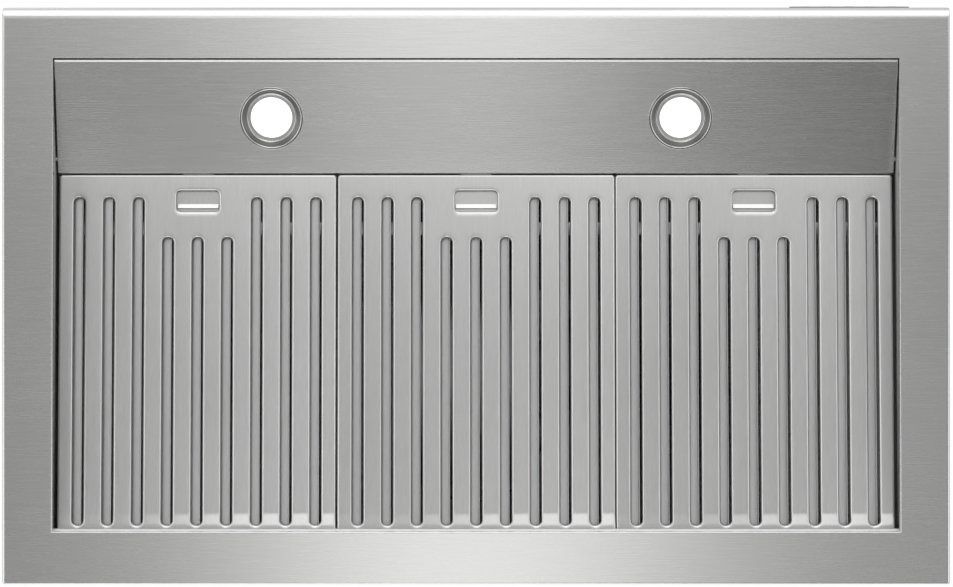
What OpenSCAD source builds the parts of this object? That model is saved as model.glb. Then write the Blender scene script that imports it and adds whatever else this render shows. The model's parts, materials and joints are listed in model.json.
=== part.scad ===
/* [Hood] */
// Width of the hood
hood_w = 914.4; // [760:0.1:1060]
// Depth of the hood from the front face to the wall
hood_d = 557; // [520:1:600]
// Height of the upright rim
rim_h = 50; // [46:1:60]
// Height of the top of the canopy above the underside
canopy_h = 274; // [268:1:310]
// Thickness of the sheet steel
sheet = 1; // [0.8:0.1:1.2]
// Width of the underside flange at the two sides
side_flange = 49; // [44:1:56]
// Width of the underside flange at the front and the back
end_flange = 49.7; // [46:0.1:56]
// Height of the hem folded up round the opening
hem_h = 10; // [9:0.5:11]
// Radius of the lower front edge
front_edge_r = 12; // [6:1:14]
// Radius of the lower side edges
side_edge_r = 3; // [2:0.5:5]
// Radius of the lower back edge
back_edge_r = 1.6; // [1.4:0.1:3]
// Radius of the rim's upright corners
corner_r = 2.5; // [2:0.5:5]
// Width of the lip folded in along the top of the rim
rim_lip = 12; // [8:1:16]

/* [Light panel] */
// Distance from the front of the opening to the ridge
light_run = 110.5; // [104:0.5:116]
// Height of the ridge above the underside
ridge_h = 36; // [33:0.5:40]
// Height of the light panel's front edge above the underside
panel_front_h = 4.5; // [3:0.5:6]
// Gap between the light panel and the front hem
panel_front_gap = 1.3; // [0.8:0.1:2]
// Gap between the light panel and each side of the opening
panel_side_gap = 1.5; // [1.2:0.1:3]
// Height of the light panel's folded side and front flanges
panel_flange_h = 9; // [7:1:12]
// Distance between the two lamp centres
lamp_spacing = 397; // [340:1:460]
// Outer radius of a lamp's trim ring
lamp_r = 31; // [29:0.5:33]
// Radius of a lamp's lens
lens_r = 20; // [18:0.5:21]
// Depth of the lamp's recess
lamp_recess = 3.6; // [3:0.2:6]
// Height of a lamp's housing
lamp_body_h = 22; // [16:1:26]

/* [Filters] */
// Gap between the outer filters and the sides of the opening
filter_side_gap = 2.3; // [1.5:0.1:3]
// Gap between the left filter and the middle one
filter_gap_left = 1.3; // [0.5:0.1:2]
// Gap between the middle filter and the right one
filter_gap_right = 0.5; // [0.4:0.1:2]
// Gap between the filters and the light panel at the ridge
ridge_gap = 0.9; // [0.8:0.1:1.5]
// Thickness of a filter
filter_t = 13; // [12:0.5:14]
// Thickness of a filter's face and frame
filter_sheet = 0.8; // [0.6:0.1:1]
// Length of a filter that lies on the rear ledge
ledge_cover = 18.9; // [14:0.1:20]
// Amount of the rear ledge that shows inside the hem
ledge_show = 2.7; // [1:0.1:3]
// Number of slots in a filter
slot_count = 9; // [7:2:9]
// Width of a slot
slot_w = 11.7; // [10:0.1:13]
// Distance from a slot's end to the filter's end
slot_margin = 22; // [20:0.5:26]
// Distance from the ridge end to the short middle slots
short_slot_margin = 61; // [58:1:70]
// Distance from the filter's side to the first slot's centre
slot_edge = 19.8; // [18:0.1:22]
// Height of the rolled rim round a slot
slot_rim_h = 2.4; // [1.5:0.1:3]
// Width of a baffle channel
baffle_w = 14.8; // [13:0.1:15]
// Height of a baffle channel
baffle_h = 7.4; // [6:0.1:7.6]
// Distance that a baffle channel stands to the left of its slot
baffle_shift = 2.7; // [0:0.1:2.9]

/* [Latches] */
// Width of the finger hole
finger_w = 42; // [38:0.5:46]
// Length of the finger hole
finger_l = 20.9; // [19:0.1:22]
// Distance from the ridge end to the finger hole
finger_margin = 15.6; // [14:0.1:18]
// Corner radius of the finger hole
finger_r = 4.5; // [3:0.5:6]
// Travel of a latch
latch_travel = 3.3; // [3:0.1:3.5]
// Length of latch tongue past the filter's end
tongue_l = 3.5; // [3.2:0.1:3.6]
// Width of the latch tongue
tongue_w = 30; // [24:1:34]
// Height of the latch plate above the filter's face
latch_lift = 6.5; // [5.5:0.1:7]

/* [Blower] */
// Radius of the impeller
impeller_r = 75; // [70:1:78]
// Number of impeller blades
blade_count = 36; // [24:1:40]
// Inner width of the blower housing
blower_w = 120; // [100:1:130]
// Height of the blower's axle above the underside
blower_axis_h = 160; // [158:1:164]
// Radius of the motor
motor_r = 50; // [44:1:52]
// Length of the motor
motor_l = 58; // [50:1:66]
// Radius of the motor's shaft
shaft_r = 4; // [3:0.5:5]

/* [Duct] */
// Outer radius of the round duct collar
collar_r = 75; // [72:0.5:76]
// Height of the duct collar
collar_h = 45; // [40:1:60]
// Wall of the duct collar
collar_wall = 1.5; // [1.2:0.1:2]
// Radius of the damper's pin
damper_pin_r = 1.5; // [1.5:0.1:2]

/* [Chimney] */
// Width of the lower chimney
chimney_w = 300; // [290:1:330]
// Depth of the lower chimney
chimney_d = 270; // [264:1:290]
// Height of the lower chimney
lower_h = 400; // [360:1:460]
// Height of the upper chimney
upper_h = 400; // [380:1:460]
// Length of the upper chimney that shows at rest
upper_show = 150; // [120:1:180]
// Gap between the two chimneys
slide_gap = 0.6; // [0.4:0.1:1]
// Radius of the chimneys' upright edges
chimney_r = 3; // [2.5:0.5:5]
// Width of the folds at the chimneys' back edges
chimney_fold = 20; // [15:1:25]
// Margin of the canopy's top round the chimney
deck_margin = 3; // [2:0.5:6]

/* [Controls] */
// Distance from the hood's side to the control panel
control_inset = 37; // [30:1:60]
// Length of the control panel
control_l = 116; // [112:1:130]
// Height of the control panel
control_h = 26; // [22:1:28]
// Thickness of the control panel in front of the rim
control_proud = 1.4; // [1:0.1:2]
// Pitch of the push buttons
button_pitch = 21; // [18:0.5:22]
// Radius of a push button
button_r = 5; // [4:0.5:6]
// Amount that a push button stands out of the control panel
button_proud = 1.2; // [1.1:0.1:2]
// Travel of a push button
button_travel = 1; // [0.6:0.1:1]

/* [Wall screws] */
// Distance between the wall screws along the wall
wall_screw_span = 400; // [320:1:420]
// Distance between the two rows of wall screws
wall_screw_rise = 130; // [100:1:140]
// Height of the lower row of wall screws
wall_screw_h = 70; // [64:1:80]
// Diameter of a wall screw's hole
wall_screw_d = 8; // [6:0.5:10]

/* [Hidden] */
$fn = 48;

steel = "#b9b9b7";
dark_steel = "#77797a";
zinc = "#a7a9a6";
black = "#1c1d1f";
white = "#f6f5ee";

// Clearances between pieces that meet, and the shank of the small screws
screw_r = 2;
seat = 0.3;
bore_gap = 0.15;
through = 1;
thin = 0.01;
screw_head_r = 4;
screw_head_top_r = 2.6;
screw_head_h = 2;

front_y = -hood_d / 2;
wall_y = hood_d / 2;
side_x = hood_w / 2;
open_w = hood_w - 2 * side_flange;
open_d = hood_d - 2 * end_flange;
open_x = open_w / 2;
open_y = open_d / 2;
side_wall_x = open_x + sheet;

// Ridge between the light panel and the filters
ridge_y = -open_y + light_run;

// Light panel, laid out in its own frame: front edge at 0, normal up
panel_front_y = -open_y + panel_front_gap;
panel_back_y = ridge_y - ridge_gap / 2;
panel_tilt = atan((ridge_h - panel_front_h) / (panel_back_y - panel_front_y));
panel_l = (panel_back_y - panel_front_y) / cos(panel_tilt);
panel_w = open_w - 2 * panel_side_gap;
panel_front_flange = (panel_front_gap - seat) / sin(panel_tilt);
panel_flange_start = panel_flange_h * tan(panel_tilt);
lamp_shift = 1.4;
lamp_pos = panel_l / 2 + lamp_shift;
lamp_hole_r = lamp_r - 1.5;
lamp_neck_r = lens_r + 4.5;
rail_pos = lamp_pos + lamp_hole_r + 1.2;
spacer_r = 2.5;
lens_t = 1;
lens_flange = 2;
lens_flange_t = 1.5;
driver_size = [110, 36, 20];
driver_pos = 14;
driver_ear = 10;
driver_ear_inset = 8;
driver_ear_t = 2;
rail_w = panel_l - rail_pos - 2.5 * sheet;
rail_h = 18;
rail_flange = 6;
keeper_drop = 0.3;

// Rear ledge
ledge_front_y = open_y - ledge_show;
ledge_top = hem_h + sheet;
ledge_depth = ledge_cover + 8;
ledge_foot = 10;
side_wall_h = ridge_h + 22;

// Filters, laid out from the ridge end: rear end at filter_l, normal up
filter_w = (open_w - 2 * filter_side_gap - filter_gap_left - filter_gap_right) / 3;
filter_front_y = ridge_y + ridge_gap / 2;
filter_back_y = ledge_front_y + ledge_cover;
filter_tilt = atan((ridge_h - ledge_top - seat) / (filter_back_y - filter_front_y));
filter_l = (filter_back_y - filter_front_y) / cos(filter_tilt);
filter_x_left = -open_x + filter_side_gap + filter_w / 2;
filter_x_middle = filter_x_left + filter_w + filter_gap_left;
filter_x_right = filter_x_middle + filter_w + filter_gap_right;
slot_pitch = (filter_w - 2 * slot_edge) / (slot_count - 1);
middle_slots = 3;
rim_t = 1.6;
baffle_t = 0.8;
baffle_r = 1.6;
baffle_band = 12;

// Latches, and the height of the keeper edge under their tongues
keeper_h = ridge_h + latch_lift * cos(filter_tilt) - keeper_drop;
latch_t = 1;
latch_w = 62;
latch_arm_w = 6;
latch_back = 66;
latch_plate_back = finger_margin + finger_l + 4;
guide_l = 16;
guide_h = latch_lift + 3;
latch_bar_pos = 29;
latch_bar_w = 4;
latch_bar_low = latch_lift - 2.4;
latch_bar_edge = 0.6;
latch_neck = 5;
latch_arm_t = 1;
spring_r = 2.2;
spring_wall = 0.8;
spring_l = 12;
spring_x = slot_pitch / 2;
guide_gap = 0.4;

// Canopy top
deck_w = chimney_w + 2 * deck_margin;
deck_d = chimney_d + deck_margin;
deck_top = canopy_h + sheet;
skin_inset = 1.6 * sheet;
canopy_lip = 11;
deck_lip = 12;

// Duct
collar_y = wall_y - chimney_d / 2;
collar_flange_r = collar_r + 14;
collar_flange_t = 1.5;
duct_hole_r = collar_r - collar_wall;
damper_lift = 16;
damper_h = deck_top + damper_lift;
damper_t = 1;
damper_gap = 1.2;
damper_hinge_gap = 5;
knuckle_r = 3.2;
knuckle_l = 18;
knuckle_pitch = 1.3 * knuckle_l;
knuckle_gap = 0.6;
duct_lip = 2;
pin_inset = 0.2;
collar_screw_r = collar_r + 9;

// Blower scroll, in the plane across its axle: angles from the rear, turning up and forward
cut_angle = 72;
scroll_start_r = impeller_r + 8;
scroll_end_r = scroll_start_r + 39;
scroll_steps = 40;
throat_in = scroll_start_r * cos(cut_angle);
throat_centre = (throat_in + scroll_end_r) / 2;
blower_y = collar_y - throat_centre;
blower_half = blower_w / 2;
blower_flange = 12;
throat_cut = 20;
inlet_collar = 6;
inlet_collar_t = 4;
inlet_flare = 3;
motor_opening = 12;

// Impeller and motor
impeller_half = blower_half - 5;
ring_w = 12;
ring_t = 2;
hub_r = 12;
hub_l = 20;
blade_chord = 6.5;
blade_t = 0.8;
blade_steps = 6;
blade_start = 180;
blade_end = 80;
blade_root = impeller_r - ring_w + 1;
inlet_r = impeller_r - ring_w;
shaft_back = 12;
motor_step = 4;
motor_nose = 10;
motor_nose_taper = 12;
motor_flange_t = 3;
rib_count = 12;
rib_t = 2;
rib_depth = 3;
capacitor_size = [30, 50, 20];

// Chimneys
lower_top = deck_top + lower_h;
upper_top = lower_top + upper_show;
upper_bottom = upper_top - upper_h;
upper_w = chimney_w - 2 * sheet - 2 * slide_gap;
upper_back_y = wall_y - sheet - slide_gap;
upper_d = chimney_d - 2 * sheet - 2 * slide_gap;
tab_h = 25;
tab_l = 60;
vent_count = 6;
vent_pitch = 9;
vent_l = 70;
vent_w = 4;
bracket_t = 1.4;
bracket_h = 30;
bracket_arm = 50;
bracket_drop = 5;
bracket_span = 200;
bracket_hole_d = 6;
tab_screw_l = 3 * sheet + 3;
vent_edge = 40;
vent_top = 25;

// Junction box on the canopy's top, and the gland for its cable
box_wall = 1;
box_gap = 5;
box_wall_gap = 12;
box_x = -chimney_w / 2 + sheet + 3.4;
box_y = collar_y + tab_l / 3 + screw_r + box_gap;
box_size = [44, wall_y - box_wall_gap - box_y, 42];
gland_r = 9;
gland_d = 11;
gland_y = box_y + box_size[1] - 22;
gland_nut = 4;
gland_top = 8;

// Controls
control_x = side_x - control_inset - control_l / 2;
control_z = front_edge_r + (rim_h - front_edge_r) / 2;
bezel_r = 3;
pocket_y = 0.2;
collar_pos = 0.5;
collar_t = 1;
bezel_back = collar_pos + collar_t + button_travel + 1.5;
stem_r = 2;
stem_l = bezel_back + 1.5;
stem_room = stem_l + button_travel + 1.5;
block_t = 12;
cutout_l = control_l - 6;
cutout_h = control_h - 6;
button_collar = 1.4;
button_count = 5;

// Basic shapes

module rounded_rect(w, d, r) {
    square([w - 2 * r, d], center = true);
    square([w, d - 2 * r], center = true);
    for (sx = [-1, 1])
        for (sy = [-1, 1])
            translate([sx * (w / 2 - r), sy * (d / 2 - r)])
                circle(r);
}

// Round-ended slot along Y, from y0 to y1
module slot_shape(w, y0, y1) {
    translate([-w / 2, y0 + w / 2])
        square([w, y1 - y0 - w]);
    translate([0, y0 + w / 2])
        circle(w / 2);
    translate([0, y1 - w / 2])
        circle(w / 2);
}

// Upright profile whose two lower corners are rounded
module dish_shape(w, h, r_left, r_right) {
    translate([-w / 2 + r_left, 0])
        square([w - r_left - r_right, h]);
    translate([-w / 2, r_left])
        square([r_left, h - r_left]);
    translate([-w / 2 + r_left, r_left])
        circle(r_left);
    translate([w / 2 - r_right, r_right])
        square([r_right, h - r_right]);
    translate([w / 2 - r_right, r_right])
        circle(r_right);
}

module tube(r_out, r_in, h) {
    difference() {
        cylinder(r = r_out, h = h);
        translate([0, 0, -through])
            cylinder(r = r_in, h = h + 2 * through);
    }
}

// Turns a flat shape drawn across the hood into a bar along X, centred
module along_x(length) {
    rotate([90, 0, 90])
        linear_extrude(length, center = true)
            children();
}

// Turns a flat shape drawn in X and Z into a bar along Y, centred
module along_y(length) {
    rotate([90, 0, 0])
        linear_extrude(length, center = true)
            children();
}

module on_panel() {
    translate([0, panel_front_y, panel_front_h])
        rotate([panel_tilt, 0, 0])
            children();
}

module on_lamp(side) {
    on_panel()
        translate([side * lamp_spacing / 2, lamp_pos, 0])
            children();
}

module on_filter(x) {
    translate([x, filter_front_y, ridge_h])
        rotate([-filter_tilt, 0, 0])
            children();
}

// Outer frame

module rim_block(inset, h) {
    intersection() {
        along_x(hood_w - 2 * inset)
            dish_shape(hood_d - 2 * inset, h, front_edge_r - inset, back_edge_r - inset);
        along_y(hood_d - 2 * inset)
            dish_shape(hood_w - 2 * inset, h, side_edge_r - inset, side_edge_r - inset);
        linear_extrude(h)
            rounded_rect(hood_w - 2 * inset, hood_d - 2 * inset, corner_r - inset);
    }
}

module bottom_frame() {
    color(steel) {
        difference() {
            rim_block(0, rim_h);
            translate([0, 0, sheet])
                rim_block(sheet, rim_h - 2 * sheet);
            translate([0, 0, rim_h / 2])
                linear_extrude(rim_h)
                    square([hood_w - 2 * rim_lip, hood_d - 2 * rim_lip], center = true);
            translate([0, 0, -through])
                linear_extrude(rim_h / 2)
                    square([open_w, open_d], center = true);
            translate([control_x, front_y, control_z])
                cube([cutout_l, 6 * sheet, cutout_h], center = true);
        }
        linear_extrude(hem_h)
            difference() {
                square([open_w + 2 * sheet, open_d + 2 * sheet], center = true);
                square([open_w, open_d], center = true);
            }
    }
}

module canopy_block(inset) {
    hull() {
        translate([0, 0, rim_h])
            linear_extrude(thin)
                rounded_rect(hood_w - 2 * inset, hood_d - 2 * inset, corner_r, $fn = 24);
        translate([0, wall_y - deck_d / 2, canopy_h - thin])
            linear_extrude(thin)
                rounded_rect(deck_w - 2 * inset, deck_d - 2 * inset, corner_r, $fn = 24);
    }
}

module canopy() {
    color(steel)
        difference() {
            canopy_block(0);
            // Room inside, open at the top, the bottom and the back
            difference() {
                canopy_block(skin_inset);
                canopy_flanges();
            }
            translate([0, wall_y, canopy_h / 2])
                cube([2 * hood_w, 2 * sheet, 2 * canopy_h], center = true);
            translate([0, wall_y - deck_d / 2, canopy_h])
                cube([deck_w - 2 * deck_lip, deck_d - 2 * deck_lip, 4 * sheet], center = true);
            translate([0, 0, rim_h])
                cube([hood_w - 2 * canopy_lip, hood_d - 2 * canopy_lip, 4 * sheet], center = true);
        }
}

// Flanges folded in along the canopy's top and bottom edges
module canopy_flanges() {
    translate([0, 0, rim_h - sheet])
        linear_extrude(2 * sheet)
            square([2 * hood_w, 2 * hood_d], center = true);
    translate([0, 0, canopy_h - sheet])
        linear_extrude(2 * sheet)
            square([2 * hood_w, 2 * hood_d], center = true);
}

module back_panel() {
    half_low = side_x - corner_r;
    half_high = deck_w / 2 - corner_r;
    color(zinc)
        translate([0, wall_y - sheet / 2, 0])
            difference() {
                rotate([90, 0, 0])
                    linear_extrude(sheet, center = true)
                        polygon([
                            [-half_low, rim_h], [half_low, rim_h],
                            [half_high, canopy_h], [-half_high, canopy_h]
                        ]);
                for (sx = [-1, 1])
                    for (row = [0, 1])
                        translate([sx * wall_screw_span / 2, 0, wall_screw_h + row * wall_screw_rise])
                            rotate([90, 0, 0])
                                cylinder(d = wall_screw_d, h = 4 * sheet, center = true);
            }
}

module top_plate() {
    tab_x = chimney_w / 2 - sheet - slide_gap;
    color(steel) {
        difference() {
            translate([0, wall_y - deck_d / 2, canopy_h])
                linear_extrude(sheet)
                    rounded_rect(deck_w, deck_d, corner_r);
            translate([0, collar_y, canopy_h - through])
                cylinder(r = duct_hole_r, h = sheet + 2 * through);
        }
        for (sx = [-1, 1])
            difference() {
                translate([sx * (tab_x - sheet / 2), collar_y, canopy_h + (sheet + tab_h) / 2])
                    cube([sheet, tab_l, sheet + tab_h], center = true);
                for (sy = [-1, 1])
                    translate([sx * tab_x, collar_y + sy * tab_l / 3, deck_top + tab_h / 2])
                        rotate([0, 90, 0])
                            cylinder(r = screw_r + bore_gap, h = 4 * sheet, center = true);
            }
    }
}

// Inside the opening

module side_wall(side) {
    length = ledge_front_y + ledge_depth + ledge_foot + open_y;
    color(dark_steel)
        translate([side * side_wall_x, -open_y, sheet])
            mirror([side < 0 ? 1 : 0, 0, 0]) {
                cube([sheet, length, side_wall_h]);
                cube([ledge_foot, length, sheet]);
            }
}

module rear_ledge() {
    back = ledge_front_y + ledge_depth;
    color(dark_steel)
        along_x(2 * side_wall_x)
            union() {
                translate([ledge_front_y + sheet / 2, hem_h])
                    square([ledge_depth - sheet / 2, sheet]);
                translate([ledge_front_y + sheet / 2, hem_h + sheet / 2])
                    circle(sheet / 2);
                translate([back - sheet, sheet])
                    square([sheet, hem_h]);
                translate([back - sheet, sheet])
                    square([ledge_foot, sheet]);
            }
}

module light_panel() {
    color(steel)
        difference() {
            union() {
                on_panel() {
                    translate([-panel_w / 2, 0, 0])
                        cube([panel_w, panel_l - sheet, sheet]);
                    translate([-panel_w / 2, 0, 0])
                        cube([panel_w, sheet, panel_front_flange]);
                    for (x = [-panel_w / 2, panel_w / 2 - sheet])
                        translate([x, panel_flange_start, 0])
                            cube([sheet, panel_l - sheet - panel_flange_start, panel_flange_h]);
                }
                translate([-panel_w / 2, panel_back_y - sheet, ridge_h])
                    cube([panel_w, sheet, keeper_h - ridge_h]);
                on_panel()
                    translate([-panel_w / 2, panel_l - 3 * sheet, 0])
                        cube([panel_w, 3 * sheet, sheet]);
            }
            translate([-panel_w, panel_back_y, 0])
                cube([2 * panel_w, 10 * sheet, 3 * ridge_h]);
            for (side = [-1, 1])
                on_lamp(side)
                    cylinder(r = lamp_hole_r, h = 8 * sheet, center = true);
        }
}

module ridge_rail() {
    color(zinc)
        on_panel()
            translate([0, rail_pos + rail_w / 2, sheet])
                along_x(panel_w - 2 * sheet)
                    difference() {
                        union() {
                            translate([-rail_w / 2, 0])
                                square([rail_w, sheet]);
                            translate([-rail_w / 2 + rail_flange, 0])
                                square([rail_w - 2 * rail_flange, rail_h]);
                        }
                        translate([-rail_w / 2 + rail_flange + sheet, -through])
                            square([rail_w - 2 * rail_flange - 2 * sheet, rail_h - sheet + through]);
                    }
}

// Spacers that hold the light panel off the side walls
module panel_spacers() {
    length = side_wall_x - panel_w / 2;
    color(steel)
        for (side = [-1, 1])
            on_panel()
                translate([side * (panel_w / 2 + length / 2), rail_pos + rail_w / 2, panel_flange_h / 2])
                    rotate([0, 90, 0])
                        cylinder(r = spacer_r, h = length, center = true);
}

// Lamps

module lamp_ring(side) {
    lip = 1.5;
    color(steel)
        on_lamp(side)
            rotate_extrude()
                union() {
                    translate([lamp_r - lip / 2, -lip / 2])
                        circle(lip / 2);
                    polygon([
                        [lamp_r - lip / 2, -lip], [lamp_r - lip / 2, 0], [lamp_hole_r - seat, 0],
                        [lamp_hole_r - seat, sheet], [lamp_neck_r + lip, lamp_recess],
                        [lens_r, lamp_recess], [lens_r, lamp_recess - lip / 2],
                        [lamp_neck_r, lamp_recess - lip / 2], [lamp_r - 2 * lip, -lip]
                    ]);
                }
}

module lamp_lens(side) {
    color(white)
        on_lamp(side)
            translate([0, 0, lamp_recess - lens_t]) {
                cylinder(r = lens_r - bore_gap, h = lens_t);
                translate([0, 0, lens_t])
                    cylinder(r = lens_r + lens_flange, h = lens_flange_t);
            }
}

module lamp_body(side) {
    fin_count = 5;
    fin_depth = 4;
    finned_part = 0.6;
    plain_part = 0.3;
    fin_h = lamp_body_h * finned_part / fin_count;
    base = lamp_recess + lens_flange_t;
    color(dark_steel)
        on_lamp(side)
            difference() {
                translate([0, 0, lamp_recess])
                    cylinder(r = lamp_neck_r, h = lamp_body_h);
                translate([0, 0, lamp_recess - through])
                    cylinder(r = lens_r + lens_flange + bore_gap, h = lens_flange_t + through);
                for (i = [0 : fin_count - 1])
                    translate([0, 0, base + lamp_body_h * plain_part + i * fin_h])
                        tube(lamp_neck_r + through, lamp_neck_r - fin_depth, fin_h / 2);
            }
}

module lamp_clips() {
    clip_w = 8;
    clip_t = 0.6;
    foot_in = lamp_r + 8;
    foot_out = lamp_r + 13;
    color(steel)
        for (side = [-1, 1])
            for (turn = [0, 180])
                on_lamp(side)
                    rotate([0, 0, turn])
                        rotate([90, 0, 0])
                            linear_extrude(clip_w, center = true)
                                polygon([
                                    [lamp_neck_r, lamp_recess + 2], [lamp_neck_r + clip_t, lamp_recess + 2],
                                    [foot_in + 1, sheet + clip_t], [foot_out, sheet + clip_t],
                                    [foot_out, sheet], [foot_in, sheet],
                                    [lamp_neck_r, lamp_recess + 1]
                                ]);
}

module led_driver() {
    color(black)
        on_panel()
            translate([-driver_size[0] / 2, driver_pos, sheet]) {
                cube(driver_size);
                for (x = [-driver_ear, driver_size[0]])
                    translate([x, driver_ear_inset, 0])
                        cube([driver_ear, driver_size[1] - 2 * driver_ear_inset, driver_ear_t]);
            }
}

// Filters

function slot_x(i) = (i - (slot_count - 1) / 2) * slot_pitch;
function is_middle(i) = abs(i - (slot_count - 1) / 2) <= (middle_slots - 1) / 2;
function slot_start(i) = is_middle(i) ? short_slot_margin : slot_margin;

module filter_face(x) {
    color(steel)
        on_filter(x)
            difference() {
                union() {
                    translate([-filter_w / 2, 0, 0])
                        cube([filter_w, filter_l, filter_sheet]);
                    difference() {
                        translate([-filter_w / 2, 0, 0])
                            cube([filter_w, filter_l, filter_t]);
                        translate([-filter_w / 2 + filter_sheet, filter_sheet, -through])
                            cube([
                                filter_w - 2 * filter_sheet,
                                filter_l - 2 * filter_sheet,
                                filter_t + 2 * through
                            ]);
                    }
                    linear_extrude(slot_rim_h)
                        for (i = [0 : slot_count - 1])
                            translate([slot_x(i), 0])
                                slot_shape(
                                    slot_w + 2 * rim_t,
                                    slot_start(i) - rim_t,
                                    filter_l - slot_margin + rim_t
                                );
                    linear_extrude(slot_rim_h)
                        translate([0, finger_margin + finger_l / 2])
                            rounded_rect(finger_w + 2 * rim_t, finger_l + 2 * rim_t, finger_r + rim_t);
                    latch_guides();
                }
                translate([0, 0, -through])
                    linear_extrude(slot_rim_h + 2 * through) {
                        for (i = [0 : slot_count - 1])
                            translate([slot_x(i), 0])
                                slot_shape(slot_w, slot_start(i), filter_l - slot_margin);
                        translate([0, finger_margin + finger_l / 2])
                            rounded_rect(finger_w, finger_l, finger_r);
                    }
                // Slot in the end wall for the latch tongue
                translate([0, 0, latch_lift + latch_t / 2])
                    cube([
                        tongue_w + 2 * guide_gap,
                        4 * filter_sheet,
                        latch_t + 2 * guide_gap
                    ], center = true);
            }
}

// Brackets on the face that guide the latch plate and hold its springs
module latch_guides() {
    guide_y = latch_bar_pos + latch_bar_w;
    stop_y = latch_back + spring_l + guide_gap;
    for (side = [-1, 1]) {
        translate([side * (latch_w / 2 + guide_gap + filter_sheet / 2), guide_y, guide_h / 2])
            cube([filter_sheet, guide_l, guide_h], center = true);
        for (z = [latch_lift + latch_t + guide_gap, latch_lift - guide_gap - filter_sheet])
            translate([side * (latch_w / 2 - 1), guide_y, z + filter_sheet / 2])
                cube([2 * (guide_gap + filter_sheet + 1), guide_l, filter_sheet], center = true);
        translate([side * spring_x, stop_y + filter_sheet / 2, guide_h / 2])
            cube([latch_arm_w, filter_sheet, guide_h], center = true);
    }
}

// Channel that hangs open side down from the filter's inner side
module baffle_channel() {
    translate([-baffle_shift, filter_t])
        mirror([0, 1])
            difference() {
                dish_shape(baffle_w, baffle_h, baffle_r, baffle_r);
                translate([0, baffle_t])
                    dish_shape(
                        baffle_w - 2 * baffle_t,
                        baffle_h,
                        baffle_r - baffle_t,
                        baffle_r - baffle_t
                    );
            }
}

module baffles(x) {
    inner_w = filter_w - 2 * filter_sheet;
    band_h = filter_t - baffle_t;
    latch_room = latch_plate_back + latch_travel + 2;
    color(dark_steel)
        on_filter(x)
            union() {
                for (i = [0 : slot_count - 1])
                    let (start = is_middle(i) ? latch_room : filter_sheet)
                        translate([slot_x(i), (start + filter_l - filter_sheet) / 2, 0])
                            along_y(filter_l - filter_sheet - start)
                                baffle_channel();
                for (y = [filter_sheet, latch_room, filter_l - filter_sheet - baffle_band])
                    translate([-inner_w / 2, y, band_h])
                        cube([inner_w, baffle_band, baffle_t]);
            }
}

module latch(x) {
    plate_front = filter_sheet + seat;
    color(steel)
        on_filter(x) {
            translate([0, 0, latch_lift])
                linear_extrude(latch_t) {
                    translate([-tongue_w / 2, -tongue_l])
                        square([tongue_w, tongue_l + plate_front + latch_neck]);
                    translate([-latch_w / 2, plate_front + latch_travel])
                        square([latch_w, latch_plate_back - plate_front - latch_travel]);
                    for (side = [-1, 1])
                        translate([side * spring_x - latch_arm_w / 2, latch_plate_back - 1])
                            square([latch_arm_w, latch_back - latch_plate_back + 1]);
                }
            translate([0, latch_bar_pos + latch_bar_w / 2, 0])
                along_x(finger_w - 2)
                    polygon([
                        [-latch_bar_w / 2, latch_lift + latch_t / 2],
                        [-latch_bar_w / 2, latch_lift],
                        [latch_bar_w / 2 - latch_bar_edge, latch_bar_low],
                        [latch_bar_w / 2, latch_bar_low],
                        [latch_bar_w / 2, latch_lift + latch_t / 2]
                    ]);
            for (side = [-1, 1])
                translate([side * spring_x, latch_back - latch_arm_t / 2, latch_lift])
                    cube([latch_arm_w, latch_arm_t, 2 * spring_r + 1], center = true);
        }
}

module latch_springs(x) {
    color(steel)
        on_filter(x)
            for (side = [-1, 1])
                translate([side * spring_x, latch_back + guide_gap / 2 + spring_l, latch_lift])
                    rotate([90, 0, 0])
                        tube(spring_r, spring_r - spring_wall, spring_l);
}

// Blower

function scroll_radius(a, inset) =
    scroll_start_r + (scroll_end_r - scroll_start_r) * (a - cut_angle) / (360 - cut_angle) - inset;

// Outline of the scroll, in Y and Z about the axle, up to the canopy's top
function scroll_outline(inset) =
    let (
        start = acos((throat_in + inset) / (scroll_start_r - inset)),
        top = canopy_h - blower_axis_h
    )
    concat(
        [for (i = [0 : scroll_steps])
            let (a = start + i * (360 - start) / scroll_steps)
                scroll_radius(a, inset) * [cos(a), sin(a)]],
        [[scroll_end_r - inset, top], [throat_in + inset, top]]
    );

module on_blower() {
    translate([0, blower_y, blower_axis_h])
        children();
}

module blower_scroll() {
    throat_top = canopy_h - blower_axis_h;
    color(zinc)
        on_blower() {
            along_x(blower_w)
                difference() {
                    polygon(scroll_outline(0));
                    polygon(scroll_outline(sheet));
                    translate([throat_in + sheet, throat_top - throat_cut])
                        square([scroll_end_r - throat_in - 2 * sheet, 2 * throat_cut]);
                }
            // Flange that hangs from the canopy's top
            translate([0, throat_centre, throat_top - sheet])
                linear_extrude(sheet)
                    difference() {
                        square([blower_w, scroll_end_r - throat_in + 2 * blower_flange], center = true);
                        square([2 * blower_w, scroll_end_r - throat_in - 2 * sheet], center = true);
                    }
        }
}

module blower_side(side) {
    hole_r = side < 0 ? inlet_r : motor_r - motor_opening;
    color(zinc)
        on_blower()
            difference() {
                union() {
                    translate([side * (blower_half + sheet / 2), 0, 0])
                        along_x(sheet)
                            polygon(scroll_outline(0));
                    if (side < 0)
                        translate([-blower_half - inlet_collar, 0, 0])
                            rotate([0, 90, 0])
                                cylinder(r = inlet_r + inlet_collar_t, h = inlet_collar);
                }
                rotate([0, 90, 0])
                    cylinder(r = hole_r, h = 2 * blower_w, center = true);
                if (side < 0)
                    translate([-blower_half - inlet_collar, 0, 0])
                        rotate([0, 90, 0])
                            cylinder(r1 = inlet_r + inlet_flare, r2 = inlet_r, h = inlet_flare);
            }
}

function blade_arc(r, a0, a1) =
    [for (i = [0 : blade_steps])
        let (a = a0 + (a1 - a0) * i / blade_steps)
            r * [cos(a), sin(a)]];

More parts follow.
